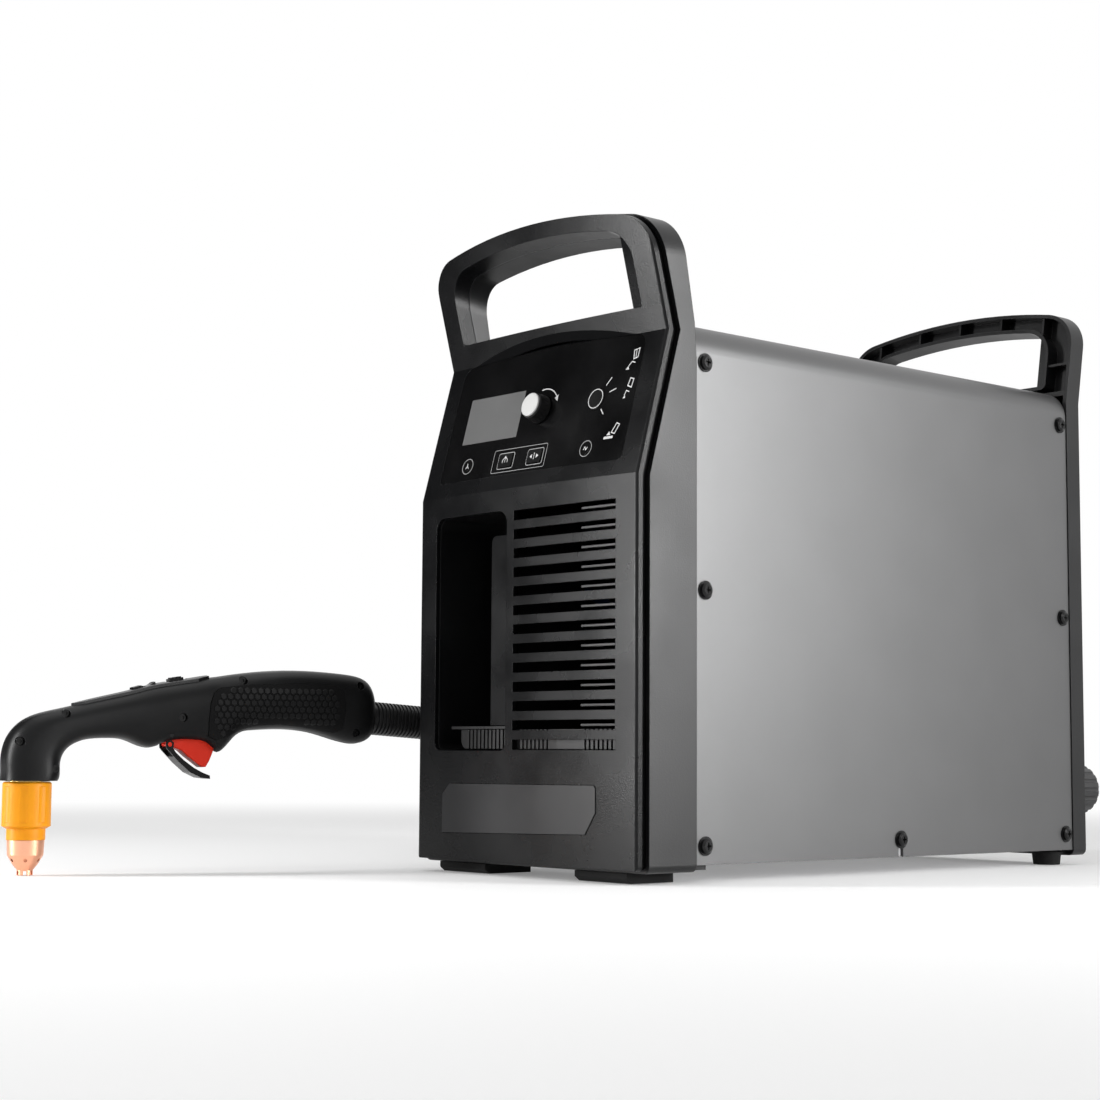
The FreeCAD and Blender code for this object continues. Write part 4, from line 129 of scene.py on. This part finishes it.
def coil_points():
    """Four flat layers of turns, wound in and out in turn, with a smooth climb between layers."""
    # a curve of order 3 runs inside its points by this much
    swell = 2 / (0.75 + 0.25 * math.cos(2 * math.pi / COIL_STEPS) + math.cos(math.pi / COIL_STEPS))
    points = []
    for i in range(int(COIL_LAYERS * LAYER_TURNS * COIL_STEPS) + 1):
        turns = i / COIL_STEPS
        layer = min(int(turns / LAYER_TURNS), COIL_LAYERS - 1)
        within = turns - layer * LAYER_TURNS
        step = within if layer % 2 == 0 else LAYER_TURNS - within
        radius = (COIL_RADIUS - COIL_PITCH * step) * swell
        nearest = round(turns / LAYER_TURNS)
        away = turns - nearest * LAYER_TURNS
        z = LEAD_RADIUS + layer * COIL_PITCH
        if 0 < nearest < COIL_LAYERS and abs(away) < CLIMB:
            u = (away + CLIMB) / (2 * CLIMB)
            z = LEAD_RADIUS + (nearest - 1 + u * u * (3 - 2 * u)) * COIL_PITCH
        x, y = around(COIL_CENTRE, 360 * turns, radius)
        points.append(place(x, y, z))
    return points


def make_lead():
    edge = COIL_CENTRE[0] + COIL_RADIUS
    top = LEAD_RADIUS + (COIL_LAYERS - 1) * COIL_PITCH
    route = [sleeve_point(along) for along in ROUTE_START]
    route += [place(*p) for p in RUN_POINTS]
    route.append(place(edge, COIL_CENTRE[1] - COIL_JOIN, LEAD_RADIUS))
    route += coil_points()
    route.append(place(edge, COIL_CENTRE[1] + COIL_JOIN, top))
    route += [place(*p) for p in TAIL_POINTS]
    curve = bpy.data.curves.new("torch_lead", "CURVE")
    curve.dimensions = "3D"
    curve.resolution_u = 6
    curve.bevel_depth = 1.0
    curve.bevel_resolution = 6
    curve.use_fill_caps = True
    spline = curve.splines.new("NURBS")
    spline.points.add(len(route) - 1)
    for point, co in zip(spline.points, route):
        point.co = (*co, 1)
        point.radius = LEAD_RADIUS / 1000
    spline.order_u = 3
    spline.use_endpoint_u = True
    lead = bpy.data.objects.new("torch_lead", curve)
    bpy.context.scene.collection.objects.link(lead)
    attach(lead, "unit")
    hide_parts("lead_run", "lead_coil", "lead_tail")
    return lead


# Material building blocks
def put(tree, kind, inputs=None, **settings):
    """Adds a shader node; each input is a number, a colour or another node's output."""
    node = tree.nodes.new("ShaderNode" + kind)
    for name, value in settings.items():
        setattr(node, name, value)
    for name, value in (inputs or {}).items():
        if isinstance(value, bpy.types.NodeSocket):
            tree.links.new(value, node.inputs[name])
        else:
            node.inputs[name].default_value = value
    return node


def noise(tree, scale, detail=2.0, stretch=None):
    where = put(tree, "TexCoord").outputs["Object"]
    if stretch:
        where = put(tree, "Mapping", {"Vector": where, "Scale": stretch}).outputs[0]
    return put(tree, "TexNoise", {"Vector": where, "Scale": scale, "Detail": detail}).outputs[0]


def span(tree, value, low, high, start=0.3, end=0.7):
    """Maps a value's range, by default a pattern's usual one, onto low to high."""
    limits = {"From Min": start, "From Max": end, "To Min": low, "To Max": high}
    return put(tree, "MapRange", {"Value": value, **limits}).outputs[0]


def maths(tree, operation, a, b=0.0):
    node = put(tree, "Math", operation=operation)
    for socket, value in zip(node.inputs, (a, b)):
        if isinstance(value, bpy.types.NodeSocket):
            tree.links.new(value, socket)
        else:
            socket.default_value = value
    return node.outputs[0]


def mixed(tree, factor, a, b):
    """One colour or another, by a factor."""
    node = put(tree, "Mix", data_type="RGBA")
    for index, value in ((0, factor), (6, a), (7, b)):
        if isinstance(value, bpy.types.NodeSocket):
            tree.links.new(value, node.inputs[index])
        else:
            node.inputs[index].default_value = value if index == 0 else (*value, 1.0)
    return node.outputs[2]


def shade(colour, factor):
    return tuple(min(c * factor, 1.0) for c in colour)


BROAD_SCALE = 22.0          # of the uneven colour and shine
WEAR_AND_HIGHLIGHT_SCALE = 160.0          # of the patches on edges that are painted lighter, partly as wear and partly as painted highlight
FINE_SHARE = 0.35           # how much the fine grain adds to the uneven colour
# Painted shade: the roughness and shine given to masked places, so that they read as shadow
SHADE_ROUGH = 0.8
SHADE_SPECULAR = 0.04


def surface(name, colour, rough, grain=1500.0, depth=0.03, mottle=0.12, rough_swing=0.06, edge=0.5,
            wear=1.6, stretch=None, pattern=None, dull=None, specular=0.5, metal=0.0, coat=0.0,
            coat_rough=0.03, **shader):
    """A finish with fine grain, uneven colour and shine, and softened edges painted lighter, partly as
    rubbed wear and partly as painted highlight.

    depth and edge are in millimetres; a mask of painted shade makes its places matt and almost without
    shine."""
    material = bpy.data.materials.new(name)
    material.use_nodes = True
    tree = material.node_tree
    tree.nodes.clear()
    fine = noise(tree, grain, 3.0, stretch)
    broad = noise(tree, BROAD_SCALE, 4.0)
    cloud = maths(tree, "MULTIPLY", maths(tree, "SUBTRACT", fine, 0.5), FINE_SHARE)
    cloud = maths(tree, "ADD", cloud, broad)
    body = mixed(tree, span(tree, cloud, 0, 1), shade(colour, 1 - mottle), shade(colour, 1 + mottle))
    soft = put(tree, "Bevel", {"Radius": edge / 1000}, samples=4).outputs[0]
    flat = put(tree, "NewGeometry").outputs["Normal"]
    turn = put(tree, "VectorMath", {0: soft, 1: flat}, operation="DOT_PRODUCT").outputs["Value"]
    # Painted highlight and wear: where the bevelled normal leaves the flat one, the edge's colour is lifted
    # by the edge factor, in patches
    rubbed_and_lit = span(tree, turn, 1, 0, 0.86, 0.99)
    rubbed_and_lit = maths(tree, "MULTIPLY", rubbed_and_lit, span(tree, noise(tree, WEAR_AND_HIGHLIGHT_SCALE, 5.0), 0.1, 1.0))
    body = mixed(tree, rubbed_and_lit, body, shade(colour, wear))
    height = fine
    if pattern:
        height = maths(tree, "ADD", maths(tree, "MULTIPLY", fine, 0.4), pattern(tree))
    bump = {"Strength": 1.0, "Distance": depth / 1000, "Height": height, "Normal": soft}
    relief = {"Base Color": body, "Normal": put(tree, "Bump", bump).outputs[0]}
    bsdf = put(tree, "BsdfPrincipled", {
        **relief, "Roughness": span(tree, broad, rough - rough_swing, rough + rough_swing),
        "Specular IOR Level": specular, "Metallic": metal, "Coat Weight": coat,
        "Coat Roughness": coat_rough, **shader})
    seen = bsdf.outputs[0]
    # Painted shade: under the mask the finish turns matt and almost shineless, so that it reads as the
    # shadow under the brow
    if dull:
        shaded_inputs = {**relief, "Roughness": SHADE_ROUGH, "Specular IOR Level": SHADE_SPECULAR}
        mix = put(tree, "MixShader", {0: dull(tree)})
        tree.links.new(seen, mix.inputs[1])
        tree.links.new(put(tree, "BsdfPrincipled", shaded_inputs).outputs[0], mix.inputs[2])
        seen = mix.outputs[0]
    tree.links.new(seen, put(tree, "OutputMaterial").inputs[0])
    return material


def shade_under_brow(tree):
    """A mask of the brow's underside over the control panel, where shade is painted: there the face is made
    matt and almost without shine.
    """
    where = put(tree, "SeparateXYZ", {0: put(tree, "TexCoord").outputs["Object"]})
    facing = put(tree, "SeparateXYZ", {0: put(tree, "NewGeometry").outputs["Normal"]})
    mask = span(tree, facing.outputs[2], 0, 1, -0.3, -0.5)
    mask = maths(tree, "MULTIPLY", mask, span(tree, where.outputs[2], 0, 1, 0.352, 0.356))
    return maths(tree, "MULTIPLY", mask, span(tree, where.outputs[2], 1, 0, 0.384, 0.386))


def weave_of_cells(scale):
    """A height pattern of small cells, as spark-textured moulds leave."""
    def pattern(tree):
        where = put(tree, "TexCoord").outputs["Object"]
        return put(tree, "TexVoronoi", {"Vector": where, "Scale": scale}).outputs["Distance"]
    return pattern


# Each finish's factor for edges lifts their colour, partly as wear and partly as painted highlight
FINISHES = {
    "case_plastic": dict(colour=(0.005, 0.0051, 0.0055), rough=0.36, depth=0.04,
                         pattern=weave_of_cells(900), edge=0.7, specular=0.34),
    # The front face carries painted shade on the brow's underside
    "face_plastic": dict(colour=(0.004, 0.0041, 0.0045), rough=0.27, depth=0.04,
                         pattern=weave_of_cells(900), edge=0.7, dull=shade_under_brow, specular=0.17),
    "panel_black": dict(colour=(0.003, 0.003, 0.0032), rough=0.2, depth=0.004, mottle=0.2, edge=0.3,
                        grain=500, specular=0.25),
    "display_grey": dict(colour=(0.135, 0.135, 0.135), rough=0.22, depth=0.003, mottle=0.05, edge=0.2,
                         wear=1.0, grain=2600, coat=0.6, coat_rough=0.08),
    "board_green": dict(colour=(0.02, 0.11, 0.05), rough=0.45, mottle=0.25, grain=400),
    "knob_black": dict(colour=(0.003, 0.003, 0.0032), rough=0.4, depth=0.02, edge=0.3, specular=0.25),
    "cap_grey": dict(colour=(0.58, 0.58, 0.57), rough=0.4, depth=0.012, mottle=0.05, edge=0.3,
                     wear=1.1),
    "key_black": dict(colour=(0.003, 0.003, 0.0032), rough=0.26, depth=0.006, edge=0.25, specular=0.25),
    "lamp_clear": dict(colour=(0.006, 0.006, 0.006), rough=0.12, depth=0.002, edge=0.3, specular=0.3),
    "badge_dark": dict(colour=(0.012, 0.012, 0.013), rough=0.36, depth=0.01, edge=0.3, specular=0.3),
    "socket_black": dict(colour=(0.016, 0.016, 0.017), rough=0.38, depth=0.02, edge=0.5),
    "release_grey": dict(colour=(0.24, 0.24, 0.25), rough=0.42, depth=0.02, mottle=0.06, edge=0.4),
    "cover_paint": dict(colour=(0.106, 0.106, 0.107), rough=0.4, grain=2300, depth=0.018, mottle=0.025,
                        rough_swing=0.01, edge=0.5, wear=1.25, metal=0.6),
    "screw_black": dict(colour=(0.002, 0.002, 0.0022), rough=0.16, grain=900, depth=0.012, edge=0.2,
                        wear=8.0, specular=0.3),
    "zinc_steel": dict(colour=(0.5, 0.5, 0.51), rough=0.34, grain=700, depth=0.01, stretch=(1, 0.08, 1),
                       mottle=0.08, wear=1.2, metal=1.0),
    "foot_rubber": dict(colour=(0.006, 0.006, 0.006), rough=0.74, grain=700, depth=0.06, edge=0.8,
                        wear=1.9, specular=0.2),
    "brass": dict(colour=(0.62, 0.43, 0.16), rough=0.26, grain=500, depth=0.01, stretch=(1, 0.1, 1),
                  edge=0.3, wear=1.25, metal=1.0),
    "fan_black": dict(colour=(0.016, 0.016, 0.017), rough=0.46, depth=0.02, edge=0.5),
    "alloy": dict(colour=(0.56, 0.57, 0.58), rough=0.38, grain=600, depth=0.012, stretch=(1, 0.06, 1),
                  wear=1.2, metal=1.0),
    "can_dark": dict(colour=(0.016, 0.02, 0.035), rough=0.22, depth=0.01, edge=0.5, coat=0.4),
    "winding": dict(colour=(0.34, 0.17, 0.035), rough=0.34, grain=800, depth=0.15, stretch=(0.2, 1, 1),
                    mottle=0.25, wear=1.2),
    "core_dark": dict(colour=(0.06, 0.06, 0.062), rough=0.6, grain=900, depth=0.06, stretch=(1, 1, 0.1),
                      mottle=0.2, metal=0.5),
    "hose_blue": dict(colour=(0.02, 0.06, 0.2), rough=0.36, depth=0.02, mottle=0.1),
    "torch_black": dict(colour=(0.004, 0.0041, 0.0044), rough=0.38, depth=0.03,
                        pattern=weave_of_cells(1300), edge=0.5, specular=0.17),
    "grip_black": dict(colour=(0.003, 0.003, 0.0032), rough=0.5, grain=1100, depth=0.05, edge=0.3,
                       wear=1.9, specular=0.12),
    "pad_black": dict(colour=(0.004, 0.004, 0.0043), rough=0.34, grain=1300, depth=0.03, edge=0.25,
                      wear=2.0, specular=0.17),
    "strip_black": dict(colour=(0.01, 0.01, 0.011), rough=0.34, depth=0.01, edge=0.4),
    "trigger_red": dict(colour=(0.95, 0.035, 0.012), rough=0.42, depth=0.012, mottle=0.07, edge=0.5,
                        wear=1.12, specular=0.22),
    "safety_black": dict(colour=(0.003, 0.003, 0.0032), rough=0.3, depth=0.015, edge=0.3,
                         specular=0.17),
    "spring_steel": dict(colour=(0.55, 0.55, 0.56), rough=0.3, depth=0.01, edge=0.1, wear=1.1,
                         metal=1.0),
    "cartridge_yellow": dict(colour=(0.8, 0.3, 0.004), rough=0.4, depth=0.014, mottle=0.05, edge=0.5,
        wear=1.12, specular=0.25, **{"Subsurface Weight": 0.06, "Subsurface Scale": 0.003}),
    "copper": dict(colour=(0.86, 0.44, 0.28), rough=0.3, grain=900, depth=0.012, stretch=(1, 1, 6),
                   mottle=0.08, edge=0.25, wear=1.15, metal=1.0),
    "sleeve_rubber": dict(colour=(0.008, 0.008, 0.0085), rough=0.36, grain=900, depth=0.03, edge=0.25,
                          wear=3.0),
    "lead_rubber": dict(colour=(0.013, 0.013, 0.014), rough=0.55, grain=800, depth=0.05, edge=0.2),
    "plug_black": dict(colour=(0.016, 0.016, 0.017), rough=0.42, depth=0.025, edge=0.6),
    "print_white": dict(colour=(0.6, 0.6, 0.6), rough=0.5, grain=3000, depth=0.004, mottle=0.05,
                        edge=0.05, wear=1.0),
    "print_grey": dict(colour=(0.3, 0.3, 0.3), rough=0.5, grain=3000, depth=0.004, mottle=0.05,
                       edge=0.05, wear=1.0),
}
MADE = {}


def finish(slot):
    if slot not in MADE:
        MADE[slot] = surface(slot, **FINISHES[slot])
    return MADE[slot]


def dress(obj, slot):
    obj.data.materials.clear()
    obj.data.materials.append(finish(slot))


def dress_nodes():
    for part in frame["record"]["subparts"]:
        dress(NODES[part["node"]], part["material_slot"])
    dress(NODES["front_face"], "face_plastic")
    dress(NODES["trigger_pin"], "screw_black")


def piece(name, verts, faces, body, slot, finish_slot=None, smooth=False):
    mesh = bpy.data.meshes.new(name)
    mesh.from_pydata([tuple(v) for v in verts], [], faces)
    mesh.validate()
    obj = bpy.data.objects.new(name, mesh)
    bpy.context.scene.collection.objects.link(obj)
    if smooth:
        for face in mesh.polygons:
            face.use_smooth = True
    mesh.materials.append(finish(finish_slot or slot))
    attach(obj, body)
    return obj


# Printed marks on the control panel
KNEE_Z = 268.0
PANEL_TILT = math.atan(27.5 / 99.0)
PANEL_Y = -248.5 + (97.0 ** 2 / 4200.0 + 2.0) / math.cos(PANEL_TILT)
PANEL_TOP = 1.8
BUTTON_TOP = 2.7
LAMP_TOP = 2.1
INK = 0.03                  # how far the print stands on its surface
MODE = (58.3, 58.0)
KEYS = ((-25.7, 21.8), (5.6, 21.8))
LAMPS = ((-68.5, 21.8), (58.2, 21.8))
KNOB = (1.5, 57.0)


def on_panel(x, s, depth):
    """A point of the leaning panel: X across, S up its slope, and its height over the panel's floor."""
    c, t = math.cos(PANEL_TILT), math.sin(PANEL_TILT)
    return place(x, PANEL_Y + s * t - depth * c, KNEE_Z + s * c + depth * t)


class Print:
    """Flat inked shapes on the panel, in its X and slope, gathered into one mesh."""

    def __init__(self, height):
        self.height = height + INK
        self.verts = []
        self.faces = []

    def fill(self, points):
        start = len(self.verts)
        self.verts += [on_panel(x, s, self.height) for x, s in points]
        self.faces.append(tuple(range(start, len(self.verts))))

    def stroke(self, points, width, closed=False):
        """A line of even width with mitred corners."""
        count = len(points)
        sides = []
        for i, (x, s) in enumerate(points):
            before = points[i - 1] if closed or i else points[0]
            after = points[(i + 1) % count] if closed or i + 1 < count else points[-1]
            into = Vector((x - before[0], s - before[1]))
            out = Vector((after[0] - x, after[1] - s))
            into = into.normalized() if into.length else out.normalized()
            out = out.normalized() if out.length else into
            along = (into + out).normalized()
            reach = width / 2 / max(along.dot(into), 0.4)
            across = Vector((-along.y, along.x)) * reach
            sides.append(((x + across.x, s + across.y), (x - across.x, s - across.y)))
        for i in range(count if closed else count - 1):
            (a, b), (c, d) = sides[i], sides[(i + 1) % count]
            self.fill((b, d, c, a))

    def ring(self, centre, radius, width, start=0.0, end=360.0):
        whole = end - start >= 360.0
        steps = 48
        count = steps if whole else steps + 1
        points = [around(centre, start + (end - start) * i / steps, radius) for i in range(count)]
        self.stroke(points, width, whole)

    def rounded(self, centre, half_x, half_s, radius, width):
        points = []
        for k, (sx, ss) in enumerate(((1, 1), (-1, 1), (-1, -1), (1, -1))):
            corner = (centre[0] + sx * (half_x - radius), centre[1] + ss * (half_s - radius))
            points += [around(corner, 90 * k + 15 * i, radius) for i in range(7)]
        self.stroke(points, width, True)

    def done(self, name, body, slot, ink="print_white"):
        return piece(name, self.verts, self.faces, body, slot, ink)


def shifted(points, centre):
    return [(x + centre[0], s + centre[1]) for x, s in points]


def print_panel():
    ink = Print(PANEL_TOP)
    for angle, near, far in ((52, 11.5, 18.5), (17, 12.5, 19.0), (-50, 10.5, 16.0)):
        ink.stroke([around(MODE, angle, near), around(MODE, angle, far)], 0.75)
    ink.ring(KNOB, 16.0, 0.8, 32, 105)
    tip = around(KNOB, 18, 16.0)
    ink.fill([tip, around(KNOB, 34, 18.0), around(KNOB, 34, 14.0)])
    frames = Print(PANEL_TOP)
    for lamp in LAMPS:
        frames.ring(lamp, 5.7, 0.5)
    frames.rounded((-11.5, 22.0), 28.5, 8.6, 1.2, 0.4)
    for key in KEYS:
        frames.rounded(key, 8.4, 5.9, 1.6, 0.55)
    frames.done("panel_frames", "unit", "panel_black", "print_grey")
    # small pictograms of work pieces at the dial's three positions
    upper, middle, lower = (88.5, 84.0), (89.0, 63.5), (80.0, 31.0)
    ink.stroke(shifted([(-1.5, 6), (3.5, 7), (3.2, 0.5), (-0.5, -0.5)], upper), 0.8, True)
    ink.stroke(shifted([(0.8, 6.4), (1.3, 0)], upper), 0.6)
    ink.stroke(shifted([(-4.5, -5.5), (-1.5, -2.2), (1.8, -3.4)], upper), 0.8)
    ink.fill(shifted([(-6.6, -7.6), (-3.2, -7.8), (-4.4, -5.0)], upper))
    ink.stroke(shifted([(0, 6), (3.4, 5), (2.6, -1), (-1.4, 0.5)], middle), 0.8, True)
    ink.stroke(shifted([(-3, -6.4), (-1.6, -3), (1.4, -4.2)], middle), 0.8)
    ink.fill(shifted([(-4, -8.6), (-1.4, -8.4), (-2.4, -6.2)], middle))
    ink.stroke(shifted([(1, 0), (4.6, 6.4), (7.6, 5.2), (4.4, -1.2)], lower), 0.8, True)
    ink.fill(shifted([(-5.6, -4.4), (3.4, -4.4), (3.4, -2.6), (-5.6, -2.6)], lower))
    ink.fill(shifted([(-3.4, -1.8), (0.6, -1.8), (-1.2, 1.0)], lower))
    ink.done("panel_print", "unit", "panel_black")

    ring = Print(BUTTON_TOP)
    ring.ring(MODE, 6.9, 0.6)
    ring.done("mode_button_ring", "mode_button", "key_black")

    gas = Print(BUTTON_TOP)
    x, s = KEYS[0]
    gas.ring((x, s - 0.8), 2.7, 0.55, -20, 200)
    gas.stroke([(x, s - 1.6), (x, s + 3.0)], 0.5)
    gas.stroke([(x - 1.0, s + 1.9), (x, s + 3.1), (x + 1.0, s + 1.9)], 0.5)
    gas.done("gas_button_mark", "gas_button", "key_black")

    amps = Print(BUTTON_TOP)
    x, s = KEYS[1]
    amps.stroke([(x, s - 2.6), (x, s + 2.6)], 0.5)
    amps.fill([(x - 4.6, s), (x - 2.2, s + 1.6), (x - 2.2, s - 1.6)])
    amps.fill([(x + 4.6, s), (x + 2.2, s - 1.6), (x + 2.2, s + 1.6)])
    amps.done("amps_button_mark", "amps_button", "key_black")

    lamps = Print(LAMP_TOP)
    x, s = LAMPS[0]
    lamps.stroke([(x, s + 0.2), (x, s + 2.2)], 0.6)
    lamps.stroke([(x - 1.6, s - 1.8), (x, s + 0.2), (x + 1.6, s - 1.8)], 0.6)
    x, s = LAMPS[1]
    lamps.stroke([(x - 2.0, s - 0.9), (x - 0.6, s + 1.2), (x + 0.6, s - 1.2), (x + 2.0, s + 0.9)], 0.6)
    lamps.done("lamp_marks", "unit", "lamp_clear")


# Honeycomb pads on the torch's grip inlays
HEX_PITCH = 5.0
HEX_HALF = 2.5              # centre to corner of a pad
HEX_RISE = 0.7
HEX_EDGE = 0.5              # width of a pad's rounded rim
HEX_ROOT = -0.1             # how far a pad's foot goes into the inlay
FIELD = ((131, 125.5), (140, 128.3), (160, 129.7), (199, 130.7), (217, 130), (221, 127), (222, 106),
         (219, 102.5), (214, 102), (195, 105.8), (177, 107.2), (162, 106), (149, 103.4), (138, 98.6),
         (132, 96), (128, 98), (127.5, 116))
FIELD_START = (128.5, 97.0)
FIELD_END = (222.0, 131.0)


def inside(x, z, outline):
    """Whether a point lies in an outline, by the count of its edges to the point's right."""
    crossings = 0
    for (x0, z0), (x1, z1) in zip(outline, outline[1:] + outline[:1]):
        if (z0 > z) != (z1 > z) and x < x0 + (z - z0) * (x1 - x0) / (z1 - z0):
            crossings += 1
    return crossings % 2 == 1


def grip_pads():
    """Raised six-sided pads that follow the inlays' curve, cast onto them from each side."""
    inlay = NODES["grip_inlays"].data
    tree = BVHTree.FromPolygons([v.co for v in inlay.vertices], [tuple(p.vertices) for p in inlay.polygons])
    for side, name in ((1, "grip_pads_left"), (-1, "grip_pads_right")):
        away = (in_torch(0, side, 0) - in_torch(0, 0, 0)).normalized()
        verts, faces = [], []
        row = 0
        z = FIELD_START[1]
        while z < FIELD_END[1]:
            x = FIELD_START[0] + (HEX_PITCH / 2 if row % 2 else 0)
            while x < FIELD_END[0]:
                if inside(x, z, FIELD):
                    add_pad(verts, faces, tree, x, z, side, away)
                x += HEX_PITCH
            z += HEX_PITCH * math.sqrt(0.75)
            row += 1
        piece(name, verts, faces, "unit", "grip_black", "pad_black")


def add_pad(verts, faces, tree, x, z, side, away):
    """One pad of three rings; none where a ring would miss the inlay."""
    shoulder = (HEX_HALF - 0.3 * HEX_EDGE, 0.7 * HEX_RISE)
    rings = []
    for half, rise in ((HEX_HALF, HEX_ROOT), shoulder, (HEX_HALF - HEX_EDGE, HEX_RISE)):
        ring = []
        for k in range(6):
            corner_x, corner_z = around((x, z), 60 * k + 30, half)
            hit = tree.ray_cast(in_torch(corner_x, 40 * side, corner_z), -away)[0]
            if hit is None:
                return
            ring.append(hit + away * rise / 1000)
        rings.append(ring)
    first = len(verts)
    for ring in rings:
        verts += ring
    order = 1 if side < 0 else -1
    for level in (0, 6):
        for k in range(6):
            a, b = first + level + k, first + level + (k + 1) % 6
            faces.append((a, b, b + 6, a + 6)[::order])
    faces.append(tuple(first + 12 + k for k in range(6))[::order])


# The trigger's return spring, drawn at its rest length; the real one shortens as the trigger is squeezed
SPRING_X = 120.0
SPRING_LOW = 97.5
SPRING_HIGH = 112.0
SPRING_RADIUS = 2.5
SPRING_WIRE = 0.45
SPRING_SEAT = 0.8           # from each seat to the middle of the wire's end
SPRING_TURNS = 5


def return_spring():
    verts, faces = [], []
    steps, sides = 24 * SPRING_TURNS, 8
    low, high = SPRING_LOW + SPRING_SEAT, SPRING_HIGH - SPRING_SEAT
    for i in range(steps + 1):
        middle = low + (high - low) * i / steps
        for k in range(sides):
            reach, z = around((SPRING_RADIUS, middle), 360 * k / sides, SPRING_WIRE)
            x, y = around((SPRING_X, 0), 360 * SPRING_TURNS * i / steps, reach)
            verts.append(in_torch(x, y, z))
    for i in range(steps):
        for k in range(sides):
            a, b = i * sides + k, i * sides + (k + 1) % sides
            faces.append((a, a + sides, b + sides, b))
    faces.append(tuple(range(sides)))
    faces.append(tuple(range(len(verts) - 1, len(verts) - 1 - sides, -1)))
    spring = piece("return_spring", verts, faces, "unit", "spring_steel", smooth=True)
    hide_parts("trigger_spring")
    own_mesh(spring)


# Studio
AMBIENT = 0.4               # the world's light on the object; it shows as white
FLOOR_HALF = 7.0
FLOOR_DROP = 0.0005         # keeps the feet clear of the floor
FLOOR_LIFT = 0.2
FADE_START = 0.7            # the floor turns to plain white between these distances
FADE_END = 2.2


def turn_towards(obj, spot, aim):
    obj.location = spot
    obj.rotation_euler = (Vector(aim) - Vector(spot)).to_track_quat("-Z", "Y").to_euler()


def area_light(name, spot, aim, width, height, power, spread=180.0):
    data = bpy.data.lights.new(name, "AREA")
    data.shape = "RECTANGLE"
    data.size, data.size_y = width, height
    data.energy = power
    data.spread = math.radians(spread)
    light = bpy.data.objects.new(name, data)
    bpy.context.scene.collection.objects.link(light)
    turn_towards(light, spot, aim)


def shown_directly(tree):
    """1 for the rays that show a surface to the camera, in metal or through glass."""
    rays = put(tree, "LightPath")
    seen = maths(tree, "MAXIMUM", rays.outputs["Is Camera Ray"], rays.outputs["Is Glossy Ray"])
    return maths(tree, "MAXIMUM", seen, rays.outputs["Is Transmission Ray"])


def make_floor():
    bm = bmesh.new()
    bmesh.ops.create_grid(bm, x_segments=8, y_segments=8, size=FLOOR_HALF)
    mesh = bpy.data.meshes.new("floor")
    bm.to_mesh(mesh)
    bm.free()
    floor = bpy.data.objects.new("floor", mesh)
    bpy.context.scene.collection.objects.link(floor)
    floor.location.z = -FLOOR_DROP
    material = bpy.data.materials.new("floor_paper")
    material.use_nodes = True
    tree = material.node_tree
    tree.nodes.clear()
    tone = mixed(tree, span(tree, noise(tree, 300.0, 4.0), 0, 1), (0.8, 0.8, 0.8), (0.84, 0.84, 0.84))
    paper = put(tree, "BsdfPrincipled", {"Base Color": tone, "Roughness": 0.7, "Specular IOR Level": 0.2})
    glow = put(tree, "Emission", {"Strength": 1.0})
    where = put(tree, "TexCoord").outputs["Object"]
    far = put(tree, "VectorMath", {0: where}, operation="LENGTH").outputs["Value"]
    fade = put(tree, "MapRange", {"Value": far, "From Min": FADE_START, "From Max": FADE_END},
               interpolation_type="SMOOTHSTEP")
    seen = shown_directly(tree)
    lift = put(tree, "Emission", {"Strength": maths(tree, "MULTIPLY", seen, FLOOR_LIFT)})
    lit = put(tree, "AddShader")
    tree.links.new(paper.outputs[0], lit.inputs[0])
    tree.links.new(lift.outputs[0], lit.inputs[1])
    mix = put(tree, "MixShader", {0: maths(tree, "MULTIPLY", fade.outputs[0], seen)})
    tree.links.new(lit.outputs[0], mix.inputs[1])
    tree.links.new(glow.outputs[0], mix.inputs[2])
    out = put(tree, "OutputMaterial")
    tree.links.new(mix.outputs[0], out.inputs[0])
    mesh.materials.append(material)


def make_flag(spot, aim, width, height):
    """A dark card beside the camera that keeps the front face's left half from shining."""
    mesh = bpy.data.meshes.new("flag")
    w, h = width / 2, height / 2
    mesh.from_pydata([(-w, -h, 0), (w, -h, 0), (w, h, 0), (-w, h, 0)], [], [(0, 1, 2, 3)])
    flag = bpy.data.objects.new("flag", mesh)
    bpy.context.scene.collection.objects.link(flag)
    turn_towards(flag, spot, aim)
    mesh.materials.append(surface("flag_cloth", (0.008, 0.008, 0.008), 0.9))


def make_world():
    world = bpy.data.worlds.new("studio")
    world.use_nodes = True
    tree = world.node_tree
    tree.nodes.clear()
    strength = maths(tree, "MULTIPLY", shown_directly(tree), 1 - AMBIENT)
    strength = maths(tree, "ADD", strength, AMBIENT)
    back = put(tree, "Background", {"Color": (1, 1, 1, 1), "Strength": strength})
    out = put(tree, "OutputWorld")
    tree.links.new(back.outputs[0], out.inputs[0])
    bpy.context.scene.world = world


def make_studio():
    make_world()
    make_floor()
    area_light("right", (2.2, 0.5, 0.95), (0.1, 0.0, 0.25), 1.0, 1.0, 7.0)
    area_light("edge", (1.5, 0.75, 0.55), (0.175, -0.17, 0.32), 0.4, 0.9, 5.0, 70.0)
    area_light("front", (-0.695, -1.356, 0.5), (0.165, -0.127, 0.27), 0.16, 1.0, 22.0)
    area_light("top", (-0.1, -0.2, 2.0), (0.02, 0.05, 0.2), 1.8, 1.4, 8.0)
    make_flag((-1.9, -1.0, 0.95), (-0.05, -0.12, 0.25), 3.0, 2.2)
    bpy.context.scene.view_settings.view_transform = "Standard"


make_camera()
lead = make_lead()
dress_nodes()
lead.data.materials.append(finish("lead_rubber"))
print_panel()
grip_pads()
return_spring()
make_studio()
